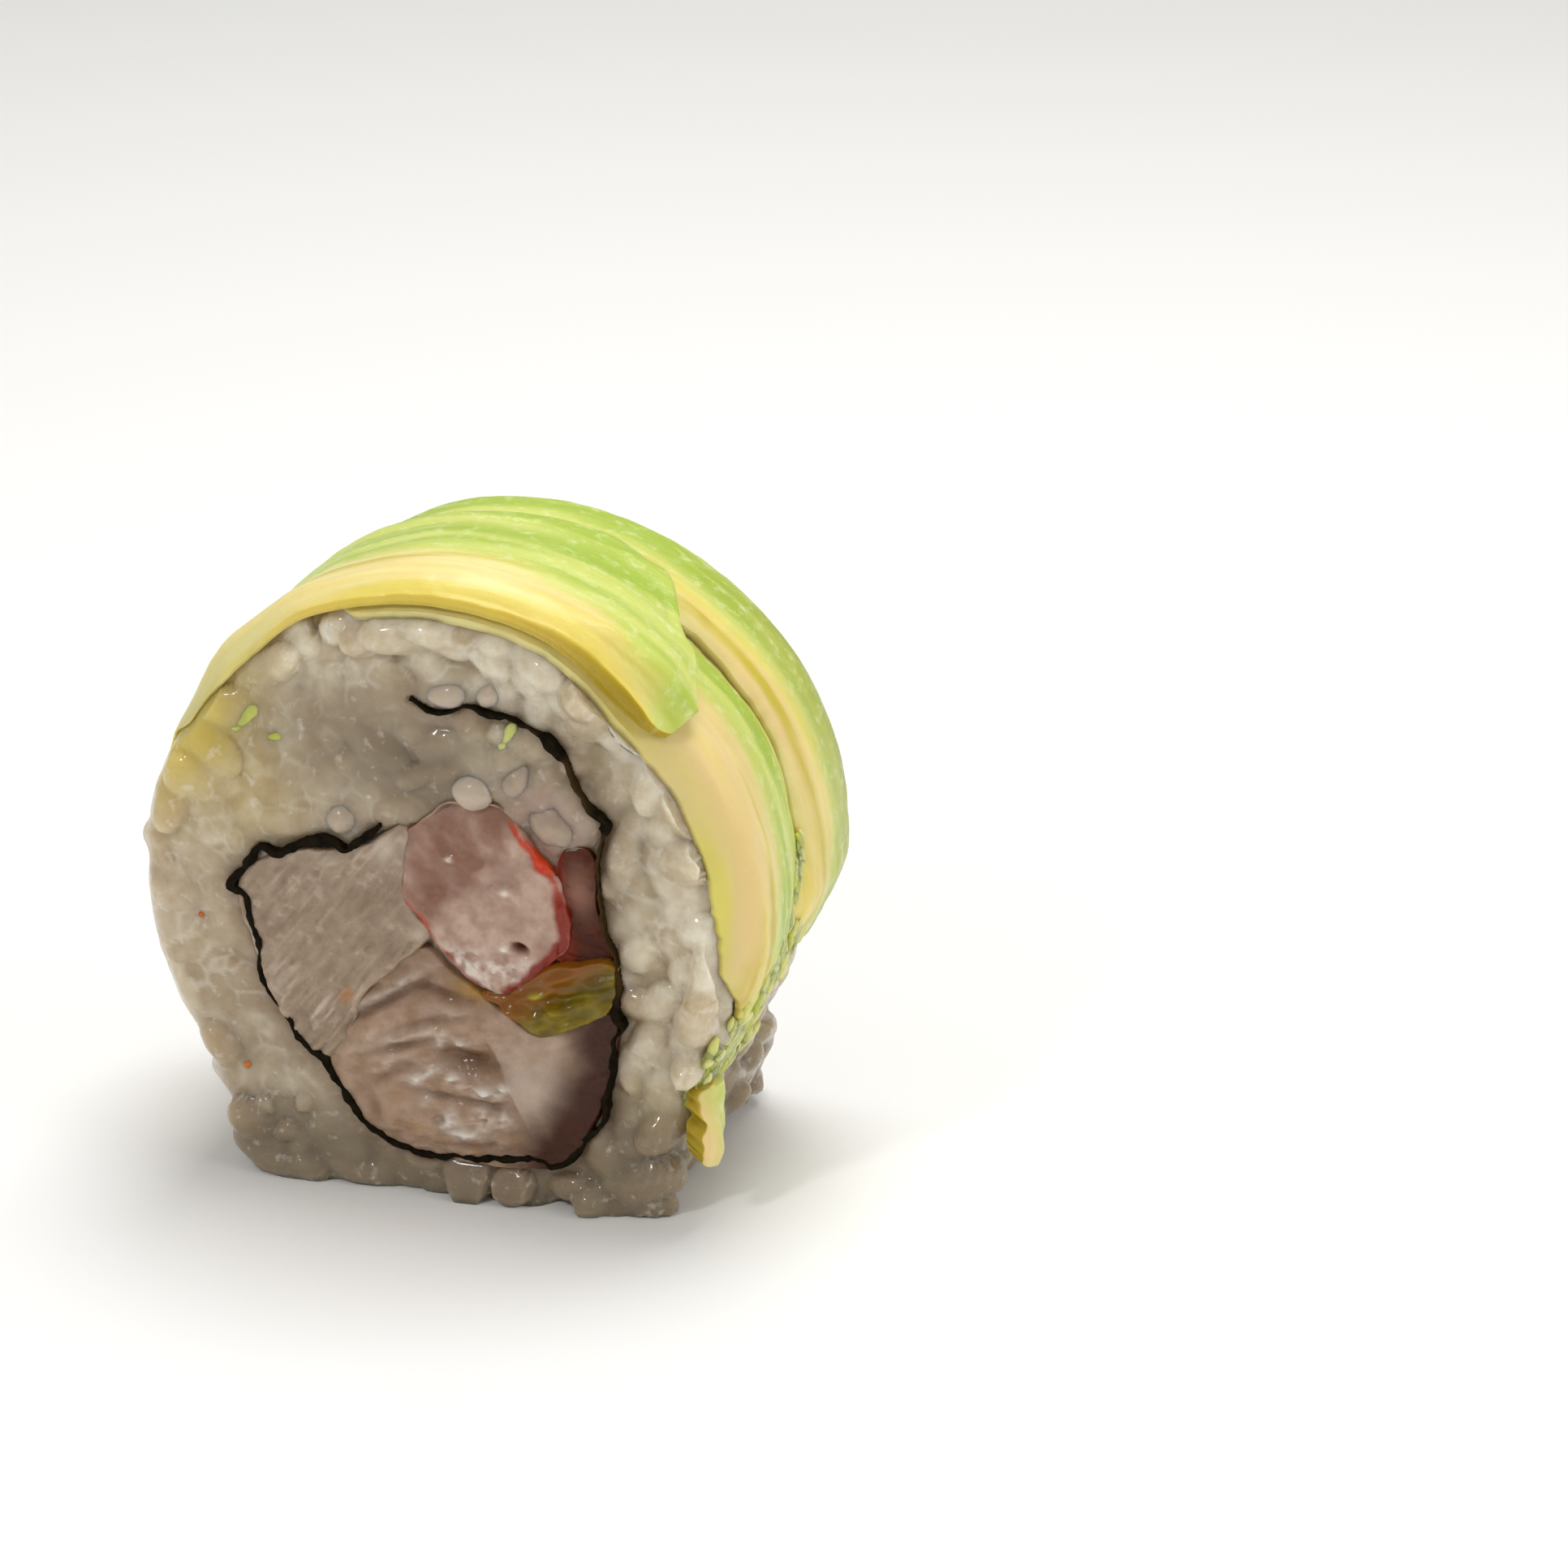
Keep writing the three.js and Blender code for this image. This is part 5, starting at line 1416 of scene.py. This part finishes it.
def slice_attributes(shape, angle, over, depth, flesh):
    """Green behind its line, ochre beside that line in places, yellow and peach streaks in the cream, darker
    green painted shade along the back edge on the right, and on the front edge the knife's darker yellow,
    with painted shade making it darkest at the right end."""
    seed = shape["seed"]
    past = depth - along(shape["green"], angle) + 0.6 * clouds(flesh, (9, 1.6, 1), seed + 20)
    bands = clouds(flesh, (12, 1.1, 1), seed + 21)
    return {
        "green": smooth(past, -0.9, 1.4),
        "leaf": smooth(past, 0.3, 2.6) * smooth(bands, -0.5, 0.6),
        "ochre": 0.9 * smooth(bands, -0.1, 0.5) * smooth(np.abs(past + 0.5), 2.5, 0.5),
        "yellow": 0.7 * smooth(clouds(flesh, (16, 1.3, 1), seed + 22), 0.0, 0.6),
        "peach": 0.8 * smooth(clouds(flesh, (14, 1.6, 1), seed + 23), -0.2, 0.4) * smooth(angle, 60, 30),
        # Painted shade: the back edge on the right turned darker green
        "olive_shade": 0.8 * smooth(over, shape["olive_shade"], 1) * smooth(past, -0.5, 1.5) * smooth(angle, 70, 30),
        "cut": smooth(over, -0.93, -0.995) * along(shape["cut"], angle),
        # Painted shade on the front edge, darkest towards the right end
        "deep": smooth(over, -0.95, -0.995) * along(shape["cut"], angle) * smooth(angle, 80, 48),
    }


# Which solid each stands for, its name and sizes, the rings along it, and how far its front and back edges
# are torn
slices = {node: slice_piece(*row) for node, row in {
    "avocado_slice_front": ("avocado_front", SLICE_FRONT, 260, 0.1, 0.3),
    "avocado_slice_side": ("avocado_side", SLICE_SIDE, 300, 0.12, 0.35),
    "avocado_slice_back": ("avocado_back", SLICE_BACK, 300, 0.2, 0.3),
    "avocado_scrap": ("avocado_bit", SCRAP, 80, 0.12, 0.16),
}.items()}

# %% [markdown]
# What the avocado looks like
#
# Avocado flesh is buttery: light goes in a little way, and the knife leaves it smooth, with streaks up to
# a millimetre wide that follow the length of the fruit. The streaks read the slice's own UV map, which
# is unrolled flat, 10 mm to the unit, so that they bend with it.

# %% Avocado material
def avocado_material():
    """Ripe avocado flesh: cream to green by attributes, streaked along the slice, with pale specks in the
    green. Light enters it about 1.5 mm, and oil rather than water gives a soft gloss."""
    material, tree, shader = wet_shader("ripe_avocado", 0.38, 0.5, 1.5, 0.15, 0.4)
    flesh = add_node(tree, "ShaderNodeUVMap", uv_map="flesh").outputs["UV"]
    green = add_node(tree, "ShaderNodeAttribute", attribute_name="green").outputs["Fac"]
    # A streak is about 0.9 mm wide and 8 mm long, a pale speck up to 1 mm wide
    stretched = add_node(tree, "ShaderNodeMapping", {"Vector": flesh, "Scale": (1.2, 11, 1)}).outputs[0]
    long = {"Vector": stretched, "Scale": 1, "Detail": 4}
    fibres = add_node(tree, "ShaderNodeTexNoise", long).outputs["Fac"]
    grainy = {"Vector": flesh, "Scale": 9, "Detail": 6, "Roughness": 0.65}
    grain = add_node(tree, "ShaderNodeTexNoise", grainy).outputs["Fac"]
    streak = add_node(tree, "ShaderNodeMapRange", {0: fibres, 1: 0.3, 2: 0.7}).outputs[0]
    specks = add_node(tree, "ShaderNodeMapRange", {0: grain, 1: 0.52, 2: 0.75, 4: 0.7}).outputs[0]
    on_green = add_node(tree, "ShaderNodeMath", {0: specks, 1: green}, operation="MULTIPLY").outputs[0]
    height = add_node(tree, "ShaderNodeMath", {0: fibres, 1: grain}, operation="ADD").outputs[0]
    rind_side = laid_over(tree, "#C6D060", [(streak, "#D6DC7C")])
    colour = laid_over(tree, "#EAD284", [
        (streak, "#F0E09A"), ("yellow", "#E6D458"), ("peach", "#EACC90"), (green, rind_side),
        # Painted shade along the back edge on the right, in olive
        ("leaf", "#A4BC3C"), ("olive_shade", "#8E9426"), ("ochre", "#C8B836"), ("cut", "#DCC04A"),
        # Painted shade: darker yellow at the right end of the front edge
        ("deep", "#A8901A"), (on_green, "#E6EBB0"),
    ])
    finish(tree, shader, colour, height, 0.1)
    return material


avocado = avocado_material()
for node, piece in slices.items():
    shown(piece, avocado, "avocado", node)

# %% [markdown]
# Crumbs and flecks
#
# The lower end of a slice frays when it is pressed on. Its crumbs lie close together along its back edge
# and below its end, and more are strewn over the side. There are also a few flecks of avocado and of
# orange sauce on the cut face. Each crumb is a ball of only 48 faces, flattened, and made rough
# by noise: at its size, more would not show.

# %% Crumbs and flecks
CRUMBS = 620
STREWN_SHARE = 0.45
LEAST_CRUMB_DEPTH = 0.8
# A crumb's half length, half width and half thickness, as shares of its size
CRUMB_SHAPE = (1.4, 0.6, 0.4)
# Where they lie: the angle, and the depth of the middle of the band at that angle
CRUMB_BAND = ((8, 11.8), (2, 11.0), (-4, 8.8), (-9, 7.0), (-16, 5.6), (-24, 4.2), (-34, 2.2))


def crumb_pieces():
    """Crumbs in a band along the torn back edge of the side slice and on below its end, a share of them
    strewn at any depth, and all turned by chance. They lie on the rice, or on the slice above its end."""
    rng = np.random.default_rng(81)
    angle = -34 + 42 * rng.uniform(0, 1, CRUMBS) ** 1.3
    depth = along(CRUMB_BAND, angle) + rng.normal(0, 1, CRUMBS) * (0.6 + 0.9 * smooth(angle, -4, -14))
    strewn = rng.uniform(0, 1, CRUMBS) < STREWN_SHARE * smooth(angle, -4, -10)
    depth = np.maximum(np.where(strewn, rng.uniform(4, 13, CRUMBS), depth), LEAST_CRUMB_DEPTH)
    around = np.radians(angle)
    outward = as_points(np.cos(around), 0.0, np.sin(around))
    down = as_points(np.sin(around), 0.0, -np.cos(around))
    turn = rng.normal(0, 0.5, CRUMBS)[:, None]
    back = np.array([0.0, 1.0, 0.0])
    long = down * np.cos(turn) + back * np.sin(turn)
    wide = back * np.cos(turn) - down * np.sin(turn)
    size = (rng.uniform(0.2, 0.6, CRUMBS) * (1 + 0.5 * smooth(angle, -8, -16)))[:, None]
    axes = np.stack([way * size * share for way, share in zip((long, wide, outward), CRUMB_SHAPE)], 1)
    raised = SLICE_SEAT + 0.85 * smooth(angle, -20, -13) + rng.uniform(-0.1, 0.3, CRUMBS)
    centres = on_roll(core_radius(angle, depth) + raised, angle, depth)
    return scattered("avocado_crumbs", ball(5, 8), centres, axes, rng.uniform(0, 1, CRUMBS), 0.35, 82)


FLECKS = {
    # x, z, length, width, degrees, tone
    "avocado_flecks": [
        (-12.4, 32.6, 2.0, 1.0, 50, 0.3), (-13.2, 31.6, 0.8, 0.5, 20, 0.3), (-10.6, 31.2, 1.0, 0.6, 10, 0.1),
        (5.4, 33.1, 1.8, 0.8, 60, 0.6), (4.9, 32.2, 0.8, 0.6, 80, 0.8),
    ],
    "sauce_flecks": [(-16.2, 18.1, 0.5, 0.4, 0, 0.4), (-13.2, 7.8, 0.6, 0.5, 0, 0.9)],
}


def fleck_piece(name, seed):
    """Thin flakes that lie in the rice of the front face."""
    x, z, length, width, degrees, tone = np.array(FLECKS[name]).T
    centres = on_surface(x, z)
    axes = on_face_axes(length, width, np.full(len(x), 0.3), degrees)
    return scattered(name, ball(7, 12), centres, axes, tone, 0.3, seed)


torn_avocado = moist(
    # Torn avocado: wet, so greener and clearer than the cut flesh
    "torn_avocado", "#A2B034", "#C2C850", 0.8, 0.3, 0.1, {"tone": "#E4DE8C"}, inside=0.6)
sauce = moist(
    # Specks of orange chilli sauce
    "chilli_sauce", "#C05A14", "#B04A10", 0.5, 0.3, 0.02, {"tone": "#D0700F"}, inside=0.3, coat=0.6)
shown(crumb_pieces(), torn_avocado, "avocado")
shown(fleck_piece("avocado_flecks", 83), torn_avocado, "avocado")
shown(fleck_piece("sauce_flecks", 84), sauce, "shrimp")

# %% [markdown]
# Camera
#
# The camera looks down at the front face from the right, from far away with a long lens, so there is
# little perspective. It could be placed by eye, but the round cut face shows as an ellipse, and its shape
# gives azimuth and elevation at once. The camera's place is then the one from which the roll stands
# where it does in the photograph.

# %% Camera
SENSOR = 36
FOCAL_PIXELS = 7600
FRAME_PIXELS = 1932
AZIMUTH = math.radians(16.7)
ELEVATION = math.radians(20.8)
CAMERA = np.array([127.95, -360.20, 170.23])


def add_camera():
    """A camera whose back is turned to the azimuth and elevation, at a place in millimetres."""
    data = bpy.data.cameras.new("camera")
    data.sensor_width = SENSOR
    data.lens = SENSOR * FOCAL_PIXELS / FRAME_PIXELS
    data.clip_start = 0.01
    camera = bpy.data.objects.new("camera", data)
    camera.location = CAMERA * MM
    camera.rotation_euler = (math.pi / 2 - ELEVATION, 0, AZIMUTH)
    bpy.context.scene.collection.objects.link(camera)
    bpy.context.scene.camera = camera
    return camera


camera = add_camera()
print("lens:", round(camera.data.lens, 1), "mm")

# %% [markdown]
# Floor
#
# The roll stands on a plain white card, which also throws light back on its underside.

# %% Floor
FLOOR_HALF = 3.0


def add_floor():
    """A pale matt floor, big enough to fill the picture."""
    mesh = bpy.data.meshes.new("floor")
    corners = [(FLOOR_HALF * x, FLOOR_HALF * y, 0) for x, y in ((-1, -1), (1, -1), (1, 1), (-1, 1))]
    mesh.from_pydata(corners, [], [(0, 1, 2, 3)])
    floor = bpy.data.objects.new("floor", mesh)
    bpy.context.scene.collection.objects.link(floor)
    material = bpy.data.materials.new("white_card")
    material.use_nodes = True
    shader = material.node_tree.nodes["Principled BSDF"]
    shader.inputs["Base Color"].default_value = linear("#F4F3F0")
    shader.inputs["Roughness"].default_value = 0.8
    mesh.materials.append(material)


add_floor()
print("floor:", 2 * FLOOR_HALF, "m wide")

# %% [markdown]
# Light
#
# Soft light, as by a window: one large lamp high above, a little behind the roll, lights the avocado and
# leaves the cut face in its own mild shade. A second one fills in from the right, a small one in front
# puts glints on the wet surfaces, and an even white sky lifts all shadows.

# %% Light
# Where each lamp is and how wide, in millimetres, and its power in watts
LAMPS = {
    "key": ((20, 120, 420), 260, 1.35),
    "right": ((420, -90, 200), 220, 0.4),
    "glint": ((-120, -330, 330), 45, 0.4),
}
SKY = 0.42


def add_lamp(name, place_mm, size_mm, watts):
    """A square lamp at a place, turned to look at the middle of the roll."""
    data = bpy.data.lights.new(name, "AREA")
    data.size = size_mm * MM
    data.energy = watts
    lamp = bpy.data.objects.new(name, data)
    aim = np.array([0, 0, AXIS_HEIGHT]) - np.array(place_mm)
    flat = math.hypot(aim[0], aim[1])
    lamp.rotation_euler = (math.atan2(flat, -aim[2]), 0, math.atan2(-aim[0], aim[1]))
    lamp.location = np.array(place_mm) * MM
    bpy.context.scene.collection.objects.link(lamp)


def add_sky(strength):
    """An even white sky."""
    world = bpy.data.worlds.new("sky")
    world.use_nodes = True
    background = world.node_tree.nodes["Background"]
    background.inputs["Color"].default_value = linear("#FFFFFF")
    background.inputs["Strength"].default_value = strength
    bpy.context.scene.world = world


for name, lamp in LAMPS.items():
    add_lamp(name, *lamp)
add_sky(SKY)
bpy.context.scene.view_settings.view_transform = "Standard"
